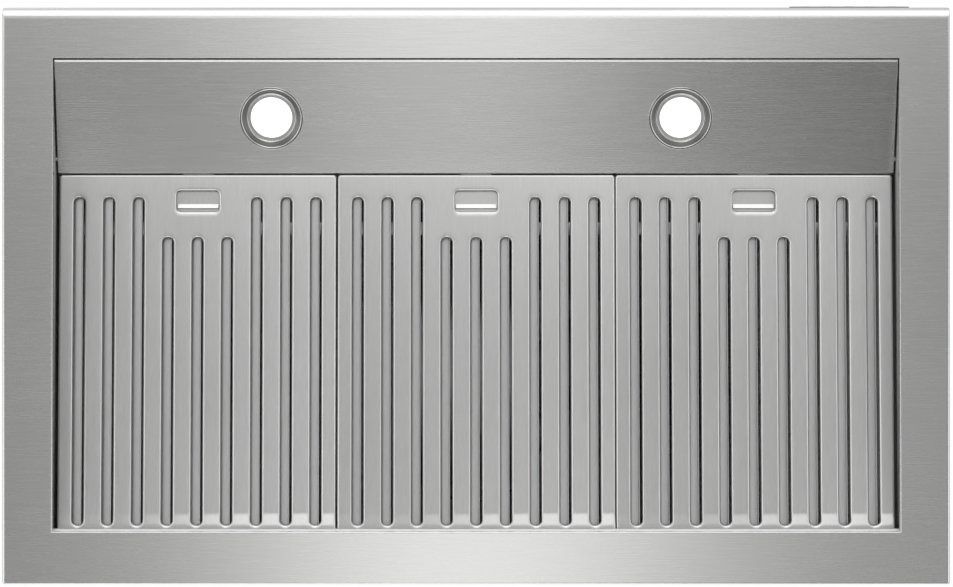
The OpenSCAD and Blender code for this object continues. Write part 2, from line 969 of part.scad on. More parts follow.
// Cross section of one forward-curved blade
module blade_shape() {
    translate([blade_root + blade_chord, 0])
        polygon(concat(
            blade_arc(blade_chord, blade_start, blade_end),
            blade_arc(blade_chord - blade_t, blade_end, blade_start)
        ));
}

module impeller() {
    color(zinc)
        on_blower()
            rotate([0, 90, 0]) {
                for (i = [0 : blade_count - 1])
                    rotate([0, 0, i * 360 / blade_count])
                        linear_extrude(2 * impeller_half - ring_t, center = true)
                            blade_shape();
                translate([0, 0, impeller_half - ring_t])
                    tube(impeller_r, shaft_r, ring_t);
                translate([0, 0, -impeller_half])
                    tube(impeller_r, impeller_r - ring_w, ring_t);
                translate([0, 0, impeller_half - ring_t - hub_l])
                    tube(hub_r, shaft_r, hub_l);
            }
}

module motor_shaft() {
    hub_back = impeller_half - ring_t - hub_l;
    color(steel)
        on_blower()
            translate([hub_back, 0, 0])
                rotate([0, 90, 0])
                    cylinder(r = shaft_r, h = blower_half + sheet + motor_l - shaft_back - hub_back);
}

module motor() {
    body_l = motor_l - motor_nose;
    body_r = motor_r - motor_step;
    color(dark_steel)
        on_blower()
            translate([blower_half + sheet, 0, 0])
                rotate([0, 90, 0])
                    difference() {
                        union() {
                            cylinder(r = motor_r, h = motor_flange_t);
                            cylinder(r = body_r, h = body_l);
                            translate([0, 0, body_l])
                                cylinder(r1 = body_r, r2 = body_r - motor_nose_taper, h = motor_nose);
                            for (i = [0 : rib_count - 1])
                                rotate([0, 0, i * 360 / rib_count])
                                    translate([body_r - 1, -rib_t / 2, 0])
                                        cube([rib_depth, rib_t, body_l - rib_t]);
                        }
                        translate([0, 0, -through])
                            cylinder(r = shaft_r + 0.05, h = motor_l - shaft_back + through);
                    }
}

module capacitor() {
    color(white)
        on_blower()
            translate([blower_half + sheet, 8 - scroll_start_r, 4 - scroll_start_r])
                cube(capacitor_size);
}

// Duct

module duct_collar() {
    color(black)
        translate([0, collar_y, deck_top])
            difference() {
                union() {
                    cylinder(r = collar_flange_r, h = collar_flange_t);
                    cylinder(r = collar_r, h = collar_h);
                }
                translate([0, 0, -through])
                    cylinder(r = collar_r - collar_wall - duct_lip, h = collar_h + 2 * through);
                // Step that stops the damper flaps
                translate([0, 0, damper_lift - damper_t / 2 - seat])
                    cylinder(r = collar_r - collar_wall, h = collar_h);
                translate([0, 0, damper_lift])
                    rotate([0, 90, 0])
                        cylinder(r = damper_pin_r, h = 3 * collar_r, center = true);
                for (a = [45 : 90 : 315])
                    rotate([0, 0, a])
                        translate([collar_screw_r, 0, -through])
                            cylinder(r = screw_r, h = 4);
            }
}

module collar_screws() {
    color(steel)
        translate([0, collar_y, deck_top + collar_flange_t])
            for (a = [45 : 90 : 315])
                rotate([0, 0, a])
                    translate([collar_screw_r, 0, 0]) {
                        translate([0, 0, -collar_flange_t])
                            cylinder(r = screw_r - bore_gap, h = collar_flange_t);
                        cylinder(r1 = screw_head_r, r2 = screw_head_top_r, h = screw_head_h);
                    }
}

module on_damper() {
    translate([0, collar_y, damper_h])
        children();
}

module damper_flap(side) {
    flap_r = collar_r - collar_wall - damper_gap;
    knuckles = side < 0 ? [-2.5, 0.5] : [-1.5, 1.5];
    others = side < 0 ? [-1.5, 1.5] : [-2.5, 0.5];
    color(zinc)
        on_damper()
            difference() {
                union() {
                    intersection() {
                        cylinder(r = flap_r, h = damper_t, center = true);
                        translate([0, side * (damper_hinge_gap + flap_r), 0])
                            cube([2 * flap_r, 2 * flap_r, 2 * damper_t], center = true);
                    }
                    for (k = knuckles)
                        translate([k * knuckle_pitch, 0, 0]) {
                            rotate([0, 90, 0])
                                cylinder(r = knuckle_r, h = knuckle_l, center = true);
                            translate([0, side * (damper_hinge_gap + 1) / 2, 0])
                                cube([knuckle_l, damper_hinge_gap + 1, damper_t], center = true);
                        }
                }
                rotate([0, 90, 0])
                    cylinder(r = damper_pin_r + bore_gap, h = 3 * collar_r, center = true);
                for (k = others)
                    translate([k * knuckle_pitch, 0, 0])
                        rotate([0, 90, 0])
                            cylinder(
                                r = knuckle_r + knuckle_gap,
                                h = knuckle_l + 2.5 * knuckle_gap,
                                center = true
                            );
            }
}

module damper_pin() {
    color(steel)
        on_damper()
            rotate([0, 90, 0])
                cylinder(r = damper_pin_r, h = 2 * collar_r - 2 * pin_inset, center = true);
}

// Wiring boxes

module junction_box() {
    color(zinc)
        translate([box_x, box_y, deck_top])
            difference() {
                cube(box_size);
                translate([box_wall, box_wall, box_wall])
                    cube([box_size[0] - 2 * box_wall, box_size[1] - 2 * box_wall, box_size[2]]);
            }
}

module junction_cover() {
    color(zinc)
        difference() {
            translate([box_x, box_y, deck_top + box_size[2]])
                cube([box_size[0], box_size[1], box_wall]);
            translate([box_x + box_size[0] / 2, gland_y, deck_top + box_size[2] - through])
                cylinder(r = gland_r, h = box_wall + 2 * through);
        }
}

module cable_gland() {
    color(black)
        translate([box_x + box_size[0] / 2, gland_y, deck_top + box_size[2]])
            difference() {
                union() {
                    translate([0, 0, -gland_nut])
                        cylinder(r = gland_r + 3, h = gland_nut);
                    translate([0, 0, -gland_nut - 2])
                        cylinder(r = gland_r - bore_gap, h = gland_nut + 4);
                    translate([0, 0, box_wall])
                        cylinder(r = gland_r + 4, h = gland_nut + 1, $fn = 6);
                    translate([0, 0, box_wall + gland_nut + 1])
                        cylinder(r1 = gland_r + 2, r2 = gland_r - 1, h = gland_top);
                }
                translate([0, 0, -2 * gland_nut])
                    cylinder(d = gland_d, h = 3 * gland_nut + 2 * gland_top);
            }
}

// Controls

function button_x(i) = (i - (button_count + 1) / 2) * button_pitch;

module on_controls() {
    translate([control_x, front_y, control_z])
        children();
}

module control_bezel() {
    color(black)
        on_controls()
            difference() {
                union() {
                    translate([0, -control_proud / 2, 0])
                        along_y(control_proud)
                            rounded_rect(control_l, control_h, bezel_r);
                    translate([0, bezel_back / 2, 0])
                        along_y(bezel_back)
                            square([cutout_l - 2 * bore_gap, cutout_h - 2 * bore_gap], center = true);
                }
                for (i = [1 : button_count])
                    translate([button_x(i), 0, 0])
                        rotate([-90, 0, 0]) {
                            cylinder(r = button_r + bore_gap, h = 5 * bezel_back, center = true);
                            translate([0, 0, pocket_y])
                                cylinder(r = button_r + button_collar + bore_gap, h = bezel_back);
                        }
            }
}

module switch_block() {
    color(dark_steel)
        on_controls()
            difference() {
                translate([0, bezel_back + block_t / 2, 0])
                    cube([cutout_l - 4, block_t, cutout_h - 2], center = true);
                for (i = [1 : button_count])
                    translate([button_x(i), stem_room, 0])
                        rotate([90, 0, 0])
                            cylinder(r = stem_r + bore_gap, h = stem_room);
            }
}

module button(i) {
    color(steel)
        on_controls()
            translate([button_x(i), 0, 0])
                rotate([-90, 0, 0]) {
                    translate([0, 0, -control_proud - button_proud])
                        cylinder(r = button_r, h = control_proud + button_proud + collar_pos);
                    translate([0, 0, collar_pos])
                        cylinder(r = button_r + button_collar - bore_gap, h = collar_t);
                    cylinder(r = stem_r, h = stem_l);
                }
}

// Chimneys

module chimney_shape(w, d, fold) {
    difference() {
        rounded_rect(w, d, chimney_r);
        rounded_rect(w - 2 * sheet, d - 2 * sheet, chimney_r - sheet);
        translate([0, d / 2])
            square([w - 2 * fold, 4 * sheet], center = true);
    }
}

module lower_chimney() {
    color(steel)
        difference() {
            translate([0, wall_y - chimney_d / 2, deck_top])
                linear_extrude(lower_h)
                    chimney_shape(chimney_w, chimney_d, chimney_fold);
            for (sx = [-1, 1])
                for (sy = [-1, 1])
                    translate([sx * chimney_w / 2, collar_y + sy * tab_l / 3, deck_top + tab_h / 2])
                        rotate([0, 90, 0])
                            cylinder(r = screw_r + bore_gap, h = 6 * sheet, center = true);
        }
}

module chimney_screws() {
    color(steel)
        for (sx = [-1, 1])
            for (sy = [-1, 1])
                translate([sx * chimney_w / 2, collar_y + sy * tab_l / 3, deck_top + tab_h / 2])
                    rotate([0, sx * 90, 0]) {
                        cylinder(r1 = screw_head_r, r2 = screw_head_top_r, h = screw_head_h);
                        translate([0, 0, -tab_screw_l])
                            cylinder(r = screw_r, h = tab_screw_l);
                    }
}

module upper_chimney() {
    color(steel)
        difference() {
            translate([0, upper_back_y - upper_d / 2, upper_bottom])
                linear_extrude(upper_h)
                    chimney_shape(upper_w, upper_d, chimney_fold);
            // Vents for use without a duct
            for (i = [0 : vent_count - 1])
                translate([0, upper_back_y - upper_d + vent_edge, upper_top - vent_top - i * vent_pitch])
                    rotate([0, 90, 0])
                        linear_extrude(2 * chimney_w, center = true)
                            slot_shape(vent_w, 0, vent_l);
            // Room for the wall bracket
            translate([
                -upper_w / 2 + sheet,
                upper_back_y - 4 * sheet,
                upper_top - bracket_drop - bracket_h - 2
            ])
                cube([upper_w - 2 * sheet, 8 * sheet, bracket_h + 2 * bracket_drop]);
        }
}

module chimney_bracket() {
    half = upper_w / 2 - sheet;
    color(zinc)
        translate([0, 0, upper_top - bracket_drop - bracket_h])
            difference() {
                union() {
                    translate([-half, wall_y - bracket_t, 0])
                        cube([2 * half, bracket_t, bracket_h]);
                    for (x = [-half, half - bracket_t])
                        translate([x, wall_y - bracket_arm, 0])
                            cube([bracket_t, bracket_arm, bracket_h]);
                }
                for (sx = [-1, 1])
                    translate([sx * bracket_span / 2, wall_y, bracket_h / 2])
                        rotate([90, 0, 0])
                            cylinder(d = bracket_hole_d, h = 8 * bracket_t, center = true);
            }
}

bottom_frame();
canopy();
back_panel();
top_plate();
side_wall(-1);  // side_wall_left
side_wall(1);  // side_wall_right
rear_ledge();
ridge_rail();
light_panel();
panel_spacers();
lamp_ring(-1);  // lamp_ring_left
lamp_ring(1);  // lamp_ring_right
lamp_lens(-1);  // lamp_lens_left
lamp_lens(1);  // lamp_lens_right
lamp_body(-1);  // lamp_body_left
lamp_body(1);  // lamp_body_right
lamp_clips();
led_driver();
filter_face(filter_x_left);  // filter_left
filter_face(filter_x_middle);  // filter_middle
filter_face(filter_x_right);  // filter_right
baffles(filter_x_left);  // baffles_left
baffles(filter_x_middle);  // baffles_middle
baffles(filter_x_right);  // baffles_right
latch(filter_x_left);  // latch_left
latch(filter_x_middle);  // latch_middle
latch(filter_x_right);  // latch_right
latch_springs(filter_x_left);  // latch_springs_left
latch_springs(filter_x_middle);  // latch_springs_middle
latch_springs(filter_x_right);  // latch_springs_right
blower_scroll();
blower_side(-1);  // blower_side_left
blower_side(1);  // blower_side_right
impeller();
motor_shaft();
motor();
capacitor();
duct_collar();
collar_screws();
damper_flap(-1);  // damper_front
damper_flap(1);  // damper_back
damper_pin();
junction_box();
junction_cover();
cable_gland();
control_bezel();
switch_block();
button(1);  // button_1
button(2);  // button_2
button(3);  // button_3
button(4);  // button_4
button(5);  // button_5
lower_chimney();
upper_chimney();
chimney_bracket();
chimney_screws();
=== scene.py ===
import json
import math

import bmesh
import bpy
from mathutils import Matrix, Vector, geometry

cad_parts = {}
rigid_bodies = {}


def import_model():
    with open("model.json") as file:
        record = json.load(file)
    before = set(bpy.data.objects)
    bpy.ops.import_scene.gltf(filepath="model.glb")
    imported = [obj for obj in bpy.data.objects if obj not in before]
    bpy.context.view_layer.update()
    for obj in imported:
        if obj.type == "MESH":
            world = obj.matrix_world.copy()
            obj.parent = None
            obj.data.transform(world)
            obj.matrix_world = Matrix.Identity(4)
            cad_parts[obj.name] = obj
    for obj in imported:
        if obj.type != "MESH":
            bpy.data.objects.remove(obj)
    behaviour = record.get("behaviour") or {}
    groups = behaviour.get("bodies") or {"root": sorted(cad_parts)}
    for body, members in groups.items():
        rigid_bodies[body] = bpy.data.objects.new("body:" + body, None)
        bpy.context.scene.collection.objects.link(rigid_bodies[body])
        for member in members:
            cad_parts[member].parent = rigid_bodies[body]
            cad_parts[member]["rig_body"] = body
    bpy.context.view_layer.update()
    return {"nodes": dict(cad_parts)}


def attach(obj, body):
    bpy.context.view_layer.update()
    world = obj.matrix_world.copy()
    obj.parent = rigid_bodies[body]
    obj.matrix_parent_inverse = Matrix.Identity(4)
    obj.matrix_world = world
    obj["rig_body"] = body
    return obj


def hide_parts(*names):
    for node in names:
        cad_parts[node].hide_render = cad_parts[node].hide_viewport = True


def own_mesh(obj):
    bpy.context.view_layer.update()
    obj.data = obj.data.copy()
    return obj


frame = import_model()

MM = 0.001
SIDES = ("left", "middle", "right")

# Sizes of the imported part, in millimetres
FILTER_PITCH = 270.9
FILTER_X = {"left": -FILTER_PITCH, "middle": 0.4, "right": FILTER_PITCH}
FILTER_Y = -117.85
FILTER_TILT = math.radians(3.89424)
FILTER_W = 270.0
FILTER_L = 363.69
FILTER_T = 13.0
FILTER_SHEET = 0.8
RIDGE_H = 36.0
SLOT_COUNT = 9
SLOT_MIDDLE = 4
SLOT_PITCH = 28.8
SLOT_W = 11.7
SLOT_RIM = 2.4
SLOT_MARGIN = 22.0
SHORT_MARGIN = 61.0
FINGER_W = 42.0
FINGER_L = 20.9
FINGER_START = 15.6
FINGER_R = 4.5
LATCH_LIFT = 6.5
LATCH_TRAVEL = 3.3
LATCH_ROOM = FINGER_START + FINGER_L + 4 + LATCH_TRAVEL + 2
LATCH_GATE_W = 30.8
SPRING_START = 66.2
SPRING_END = 78.2
SPRING_R = 1.8
SPRING_WIRE = 0.7
SPRING_TURNS = 7
PANEL_Y = -227.5
PANEL_H = 4.5
PANEL_RUN = 108.75
PANEL_TILT = math.atan((RIDGE_H - PANEL_H) / PANEL_RUN)
LAMP_X = 198.5
LAMP_POS = PANEL_RUN / math.cos(PANEL_TILT) / 2 + 1.4
LAMP_RECESS = 3.6
OPEN_X = 408.2
OPEN_Y = 228.8
LEDGE_Y = 226.1
LEDGE_TOP = 10.5
DAMPER_Y = 143.5


# ---- Mesh helpers; shapes are made in millimetres ----

def loop_points(cx, cy, hx, hy, r, z, n, cuts_x=(), cuts_y=()):
    """Closed outline of a rounded rectangle with n steps to a corner.

    cuts_x and cuts_y are fractions of the sides along x and y that get a point, and cuts_y
    run from the high end of y on both sides.
    """
    pts = []
    r = min(r, hx, hy)
    corners = ((1, 1), (-1, 1), (-1, -1), (1, -1))
    for k, (sx, sy) in enumerate(corners):
        ox, oy = cx + sx * (hx - r), cy + sy * (hy - r)
        arc = []
        for i in range(n + 1):
            a = (k + i / n) * math.pi / 2
            arc.append((ox + r * math.cos(a), oy + r * math.sin(a), z))
        pts += arc
        nx, ny = corners[(k + 1) % 4]
        a1 = (k + 1) * math.pi / 2
        end = (cx + nx * (hx - r) + r * math.cos(a1), cy + ny * (hy - r) + r * math.sin(a1), z)
        start = arc[-1]
        fractions = cuts_x if k in (0, 2) else cuts_y
        if k == 3:
            fractions = [1 - f for f in reversed(fractions)]
        for f in fractions:
            pts.append(tuple(start[i] + (end[i] - start[i]) * f for i in range(3)))
    return [p for i, p in enumerate(pts) if math.dist(p, pts[i - 1]) > 1e-5]


def add_ring(bm, pts):
    return [bm.verts.new(p) for p in pts]


def bridge(bm, a, b):
    for i in range(len(a)):
        j = (i + 1) % len(a)
        bm.faces.new((a[i], a[j], b[j], b[i]))


def loft(bm, rings):
    """Closed body through a row of rings."""
    for a, b in zip(rings, rings[1:]):
        bridge(bm, a, b)
    bm.faces.new(rings[0][::-1])
    bm.faces.new(rings[-1])


def inside(ring, x, y):
    """True where a point lies in the ring, seen from above."""
    found = False
    for i, a in enumerate(ring):
        b = ring[i - 1]
        if (a.co.y > y) != (b.co.y > y):
            if x < (b.co.x - a.co.x) * (y - a.co.y) / (b.co.y - a.co.y) + a.co.x:
                found = not found
    return found


def fill_between(bm, rings, extra):
    """Fills the flat area that the rings bound, with some extra points in it.

    The first ring is the outline and the others are holes.
    """
    verts = [v for ring in rings for v in ring]
    verts += [bm.verts.new(p) for p in extra]
    edges, start = [], 0
    for ring in rings:
        n = len(ring)
        edges += [(start + i, start + (i + 1) % n) for i in range(n)]
        start += n
    flat = [Vector((v.co.x, v.co.y)) for v in verts]
    result = geometry.delaunay_2d_cdt(flat, edges, [], 1, 1e-6)
    kept = [ids[0] if ids else None for ids in result[3]]
    boxes = [(min(v.co.x for v in r), max(v.co.x for v in r),
              min(v.co.y for v in r), max(v.co.y for v in r), r) for r in rings[1:]]
    for face in result[2]:
        ids = [kept[k] for k in face]
        if None in ids or len(set(ids)) < 3:
            continue
        corners = [verts[k] for k in ids]
        x = sum(v.co.x for v in corners) / 3
        y = sum(v.co.y for v in corners) / 3
        if any(x0 < x < x1 and y0 < y < y1 and inside(r, x, y) for x0, x1, y0, y1, r in boxes):
            continue
        bm.faces.new(corners)


def finish_mesh(name, bm, place, smooth):
    """Mesh data in metres, moved to its place, with folds over the smooth angle kept sharp."""
    me = bpy.data.meshes.new(name)
    bmesh.ops.recalc_face_normals(bm, faces=bm.faces)
    bm.to_mesh(me)
    bm.free()
    if place is not None:
        me.transform(place)
    me.transform(Matrix.Scale(MM, 4))
    me.shade_smooth()
    me.set_sharp_from_angle(angle=math.radians(smooth))
    return me


def link(o):
    bpy.context.scene.collection.objects.link(o)
    return o


def piece(name, me, material, body, nodes):
    """Object that rides on a body and stands for the given nodes of the part."""
    o = link(bpy.data.objects.new(name, me))
    me.materials.clear()
    me.materials.append(material)
    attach(o, body)
    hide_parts(*nodes)
    return o


def solidify(o, thickness):
    m = o.modifiers.new("sheet", "SOLIDIFY")
    m.thickness = thickness * MM
    m.offset = -1.0
    m.use_even_offset = True


def weighted(o):
    m = o.modifiers.new("normals", "WEIGHTED_NORMAL")
    m.keep_sharp = True


def round_edges(o, width, segments, angle):
    m = o.modifiers.new("edges", "BEVEL")
    m.width = width * MM
    m.segments = segments
    m.limit_method = "ANGLE"
    m.angle_limit = math.radians(angle)
    m.miter_outer = "MITER_ARC"


def welded(cad_node):
    """The node's own form as a clean mesh: joined, with its flat faces in one piece."""
    bm = bmesh.new()
    bm.from_mesh(frame["nodes"][cad_node].data)
    bmesh.ops.remove_doubles(bm, verts=bm.verts, dist=2e-6)
    bmesh.ops.dissolve_limit(bm, angle_limit=math.radians(0.6), verts=bm.verts, edges=bm.edges,
                             delimit=set())
    return bm


def softened(cad_node, name, width, material, segments=2, angle=35, edit=None):
    """A piece with the node's form and edges rounded by width, which stands for the node.

    edit reworks the node's mesh, in metres, before its edges are rounded.
    """
    bm = welded(cad_node)
    if edit:
        edit(bm)
    me = bpy.data.meshes.new(name)
    bm.to_mesh(me)
    bm.free()
    me.shade_smooth()
    me.set_sharp_from_angle(angle=math.radians(angle))
    o = piece(name, me, material, frame["nodes"][cad_node]["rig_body"], (cad_node,))
    if width:
        round_edges(o, width, segments, angle)
    weighted(o)


# ---- Materials ----

def empty_material(name):
    m = bpy.data.materials.new(name)
    m.use_nodes = True
    m.node_tree.nodes.clear()
    return m, m.node_tree, m.node_tree.nodes.new("ShaderNodeOutputMaterial")


def shaded_material(name):
    """Material with a plain shader, and the coordinates of its object."""
    m, nt, out = empty_material(name)
    bsdf = nt.nodes.new("ShaderNodeBsdfPrincipled")
    nt.links.new(bsdf.outputs[0], out.inputs[0])
    return m, nt, bsdf, node(nt, "ShaderNodeTexCoord").outputs["Object"]


def node(nt, kind, inputs=None, **settings):
    """New node whose inputs are values or the outputs of other nodes."""
    n = nt.nodes.new(kind)
    for key, value in settings.items():
        setattr(n, key, value)
    for key, value in (inputs or {}).items():
        if isinstance(value, bpy.types.NodeSocket):
            nt.links.new(value, n.inputs[key])
        else:
            n.inputs[key].default_value = value
    return n


def noise(nt, coord, scale, detail=3.0, rough=0.6):
    """Noise with its own scale, in lines per metre, along each axis."""
    mapping = node(nt, "ShaderNodeMapping", {"Vector": coord, "Scale": scale})
    return node(nt, "ShaderNodeTexNoise", {
        "Vector": mapping.outputs[0], "Scale": 1.0, "Detail": detail, "Roughness": rough}).outputs[0]


def remap(nt, value, low, high, from_low=0.3, from_high=0.7):
    """Spreads a value, by default the middle range of a noise, over low to high."""
    return node(nt, "ShaderNodeMapRange", {
        "Value": value, "From Min": from_low, "From Max": from_high,
        "To Min": low, "To Max": high}).outputs[0]


def tinted(nt, colour, factor):
    """colour times a grey factor."""
    rgb = node(nt, "ShaderNodeCombineXYZ", {"X": factor, "Y": factor, "Z": factor}).outputs[0]
    return node(nt, "ShaderNodeVectorMath", {0: rgb, 1: colour}, operation="MULTIPLY").outputs[0]


def maths(nt, operation, a, b):
    return node(nt, "ShaderNodeMath", {0: a, 1: b}, operation=operation).outputs[0]


def painted_edge_highlight(nt):
    """0 on flat faces and 1 on sharp outer edges, which get a painted highlight."""
    point = node(nt, "ShaderNodeNewGeometry").outputs["Pointiness"]
    return remap(nt, point, 0.0, 1.0, 0.52, 0.62)


def dress(nt, bsdf, colour, shade, roughness, relief, depth, reach=0.0002):
    """Gives the shader a shaded colour, a roughness and a fine relief of the given reach in metres."""
    nt.links.new(tinted(nt, colour, shade), bsdf.inputs["Base Color"])
    nt.links.new(roughness, bsdf.inputs["Roughness"])
    bump = node(nt, "ShaderNodeBump", {"Strength": depth, "Distance": reach, "Height": relief})
    nt.links.new(bump.outputs[0], bsdf.inputs["Normal"])


# Brush marks, in lines per metre: coarse and fine ones, across the grain and along it
MARKS_ACROSS = (850.0, 2600.0)
MARKS_ALONG = (22.0, 30.0)
# Direction of the highlight's stretch for each grain
TANGENTS = {"X": (0.0, 1.0, 0.35), "Y": (1.0, 0.0, 0.35), "Z": (1.0, 1.0, 0.0)}


def brushed(name, grain, colour, rough, aniso=0.6, depth=0.07, contrast=0.06, across=0.0,
            sheen=0.03):
    """Brushed sheet steel with its grain along an axis of the part.

    contrast is the brush marks' change of colour and sheen that of roughness; across paints
    each filter with a painted shade, darker at its left side and lighter at its right side.
    """
    m, nt, bsdf, coord = shaded_material(name)
    axis = "XYZ".index(grain)
    coarse, fine = [MARKS_ACROSS[0]] * 3, [MARKS_ACROSS[1]] * 3
    coarse[axis], fine[axis] = MARKS_ALONG
    broad = noise(nt, coord, coarse)
    hair = noise(nt, coord, fine, 2.0)
    patch = noise(nt, coord, (5.0,) * 3, rough=0.55)
    lines = maths(nt, "ADD", maths(nt, "MULTIPLY", broad, 0.6), maths(nt, "MULTIPLY", hair, 0.4))
    shade = remap(nt, lines, 1.0 - contrast, 1.0 + contrast)
    shade = maths(nt, "MULTIPLY", shade, remap(nt, patch, 0.985, 1.015))
    # Painted highlight: the colour is lighter on sharp outer edges
    shade = maths(nt, "ADD", shade, maths(nt, "MULTIPLY", painted_edge_highlight(nt), 0.06))
    # Painted shade: each filter's colour grows lighter from its left side to its right side
    if across:
        x = node(nt, "ShaderNodeSeparateXYZ", {0: coord}).outputs[0]
        place = maths(nt, "ADD", maths(nt, "DIVIDE", x, FILTER_PITCH * MM), 0.5)
        side = remap(nt, maths(nt, "FRACT", place, 0.0), 1.0 - across, 1.0 + across, 0.0, 1.0)
        shade = maths(nt, "MULTIPLY", shade, side)
    roughness = maths(nt, "ADD", remap(nt, lines, -sheen, sheen),
                      remap(nt, patch, rough - sheen / 3, rough + sheen / 2))
    dress(nt, bsdf, colour, shade, roughness, lines, depth)
    bsdf.inputs["Metallic"].default_value = 1.0
    bsdf.inputs["Anisotropic"].default_value = aniso
    tangent = node(nt, "ShaderNodeCombineXYZ", dict(zip("XYZ", TANGENTS[grain])))
    nt.links.new(tangent.outputs[0], bsdf.inputs["Tangent"])
    return m


def satin(name, colour, rough, metallic=1.0, depth=0.1, grain=900.0, contrast=0.06, edge_highlight=0.1,
          shine=0.5):
    """Cast, moulded or polished surface with a fine even texture of grain lines per metre."""
    m, nt, bsdf, coord = shaded_material(name)
    fine = noise(nt, coord, (grain,) * 3)
    patch = noise(nt, coord, (24.0,) * 3, rough=0.55)
    shade = maths(nt, "MULTIPLY", remap(nt, fine, 1.0 - contrast, 1.0 + contrast),
                  remap(nt, patch, 0.97, 1.03))
    # Painted highlight: sharp outer edges get a lighter colour
    shade = maths(nt, "ADD", shade, maths(nt, "MULTIPLY", painted_edge_highlight(nt), edge_highlight))
    roughness = maths(nt, "ADD", remap(nt, fine, -0.04, 0.04),
                      remap(nt, patch, rough - 0.04, rough + 0.05))
    dress(nt, bsdf, colour, shade, roughness, fine, depth, 0.0003)
    bsdf.inputs["Metallic"].default_value = metallic
    bsdf.inputs["Specular IOR Level"].default_value = shine
    return m


def galvanised(name, colour):
    """Zinc coated sheet with its crystal spangle."""
    m, nt, bsdf, coord = shaded_material(name)
    swirl = node(nt, "ShaderNodeTexNoise", {"Vector": coord, "Scale": 70.0}).outputs["Color"]
    shift = node(nt, "ShaderNodeVectorMath", {0: swirl, "Scale": 0.012}, operation="SCALE").outputs[0]
    bent = node(nt, "ShaderNodeVectorMath", {0: coord, 1: shift}, operation="ADD").outputs[0]
    cells = node(nt, "ShaderNodeTexVoronoi", {"Vector": bent, "Scale": 150.0})
    tone = node(nt, "ShaderNodeSeparateColor", {"Color": cells.outputs["Color"]}).outputs[0]
    fine = noise(nt, coord, (500.0,) * 3)
    shade = maths(nt, "MULTIPLY", remap(nt, tone, 0.93, 1.07, 0.0, 1.0), remap(nt, fine, 0.96, 1.04))
    roughness = maths(nt, "ADD", remap(nt, tone, 0.36, 0.46, 0.0, 1.0), remap(nt, fine, -0.04, 0.04))
    dress(nt, bsdf, colour, shade, roughness, fine, 0.12)
    bsdf.inputs["Metallic"].default_value = 1.0
    return m


def frosted_lens(name):
    """Frosted diffuser of a lamp that is lit."""
    m, nt, bsdf, coord = shaded_material(name)
    fine = noise(nt, coord, (1400.0,) * 3, 2.0, 0.5)
    dress(nt, bsdf, (0.97, 0.97, 0.94), remap(nt, fine, 0.97, 1.02), remap(nt, fine, 0.35, 0.5),
          fine, 0.15)
    bsdf.inputs["Emission Color"].default_value = (1.0, 0.99, 0.96, 1.0)
    bsdf.inputs["Emission Strength"].default_value = 0.9
    return m


UNDERSIDE_X = brushed("steel_underside", "X", (0.52, 0.52, 0.512), 0.27, aniso=0.5, depth=0.02,
                      sheen=0.008)
# The filters' steel carries a painted shade, darker on each filter's left side than its right
FILTER_STEEL = brushed("steel_filter", "Y", (0.52, 0.52, 0.515), 0.34, across=0.06)
LATCH_STEEL = brushed("steel_latch", "Y", (0.49, 0.49, 0.485), 0.30)
SHELL_X = brushed("steel_canopy", "X", (0.46, 0.46, 0.455), 0.28, aniso=0.7, depth=0.03,
                  contrast=0.065)
SHELL_Z = brushed("steel_chimney", "Z", (0.46, 0.46, 0.455), 0.28, aniso=0.7, depth=0.03,
                  contrast=0.065)
BAFFLE = brushed("steel_baffle", "Y", (0.52, 0.52, 0.52), 0.40, aniso=0.5, contrast=0.09)
LEDGE_STEEL = brushed("steel_ledge", "X", (0.50, 0.50, 0.50), 0.38, aniso=0.4)
LAMP_STEEL = satin("steel_lamp_trim", (0.56, 0.56, 0.55), 0.15, depth=0.05, contrast=0.04)
# Dark dish of the lamp trim: a painted shade on what is the same steel as the trim
LAMP_DISH_SHADE = satin("lamp_dish_painted_shade", (0.125, 0.125, 0.123), 0.40, depth=0.05, contrast=0.04,
                  edge_highlight=0.03)
# Lighter seat round the lens: painted light in the trim's recess
LAMP_SEAT_LIGHT = satin("lamp_seat_painted_light", (0.36, 0.36, 0.355), 0.5, metallic=0.5, depth=0.05,
                  contrast=0.04, edge_highlight=0.05)
# Near-black ridge rail: a painted shade for the dark gap between the light panel and the filters
RAIL_SHADE = satin("ridge_rail_painted_shade", (0.012, 0.012, 0.012), 0.6, metallic=0.0, depth=0.15,
                contrast=0.1, edge_highlight=0.03, shine=0.12)
INNER = satin("steel_inner", (0.40, 0.40, 0.40), 0.55, metallic=0.45, edge_highlight=0.05)
BRIGHT = satin("steel_bright", (0.64, 0.64, 0.63), 0.16, depth=0.04, grain=700.0, contrast=0.03)
SCREW = satin("zinc_screw", (0.62, 0.62, 0.60), 0.32, depth=0.12, grain=1200.0, contrast=0.08,
              edge_highlight=0.2)
ZINC = galvanised("zinc_sheet", (0.48, 0.49, 0.495))
CAST = satin("cast_aluminium", (0.34, 0.345, 0.35), 0.5, metallic=0.8, depth=0.35, grain=1100.0,
             contrast=0.12, edge_highlight=0.25)
BLACK = satin("black_plastic", (0.026, 0.026, 0.028), 0.45, metallic=0.0, depth=0.3, grain=1600.0,
              contrast=0.18, edge_highlight=0.35)
WHITE = satin("white_plastic", (0.80, 0.80, 0.77), 0.32, metallic=0.0, contrast=0.03, edge_highlight=0.03)
BUTTON = satin("button_metal", (0.68, 0.68, 0.68), 0.26, depth=0.08, grain=1500.0, contrast=0.05)
LENS = frosted_lens("lamp_lens")


# ---- Filters ----

def filter_place(side):
    """Place of a filter: its front edge on the ridge, tilted down to the rear."""
    return (Matrix.Translation((FILTER_X[side], FILTER_Y, RIDGE_H))
            @ Matrix.Rotation(-FILTER_TILT, 4, "X"))


def slot_x(i):
    return (i - SLOT_MIDDLE) * SLOT_PITCH


def is_short(i):
    """True for the slots that end in front of the latch."""
    return abs(i - SLOT_MIDDLE) <= 1


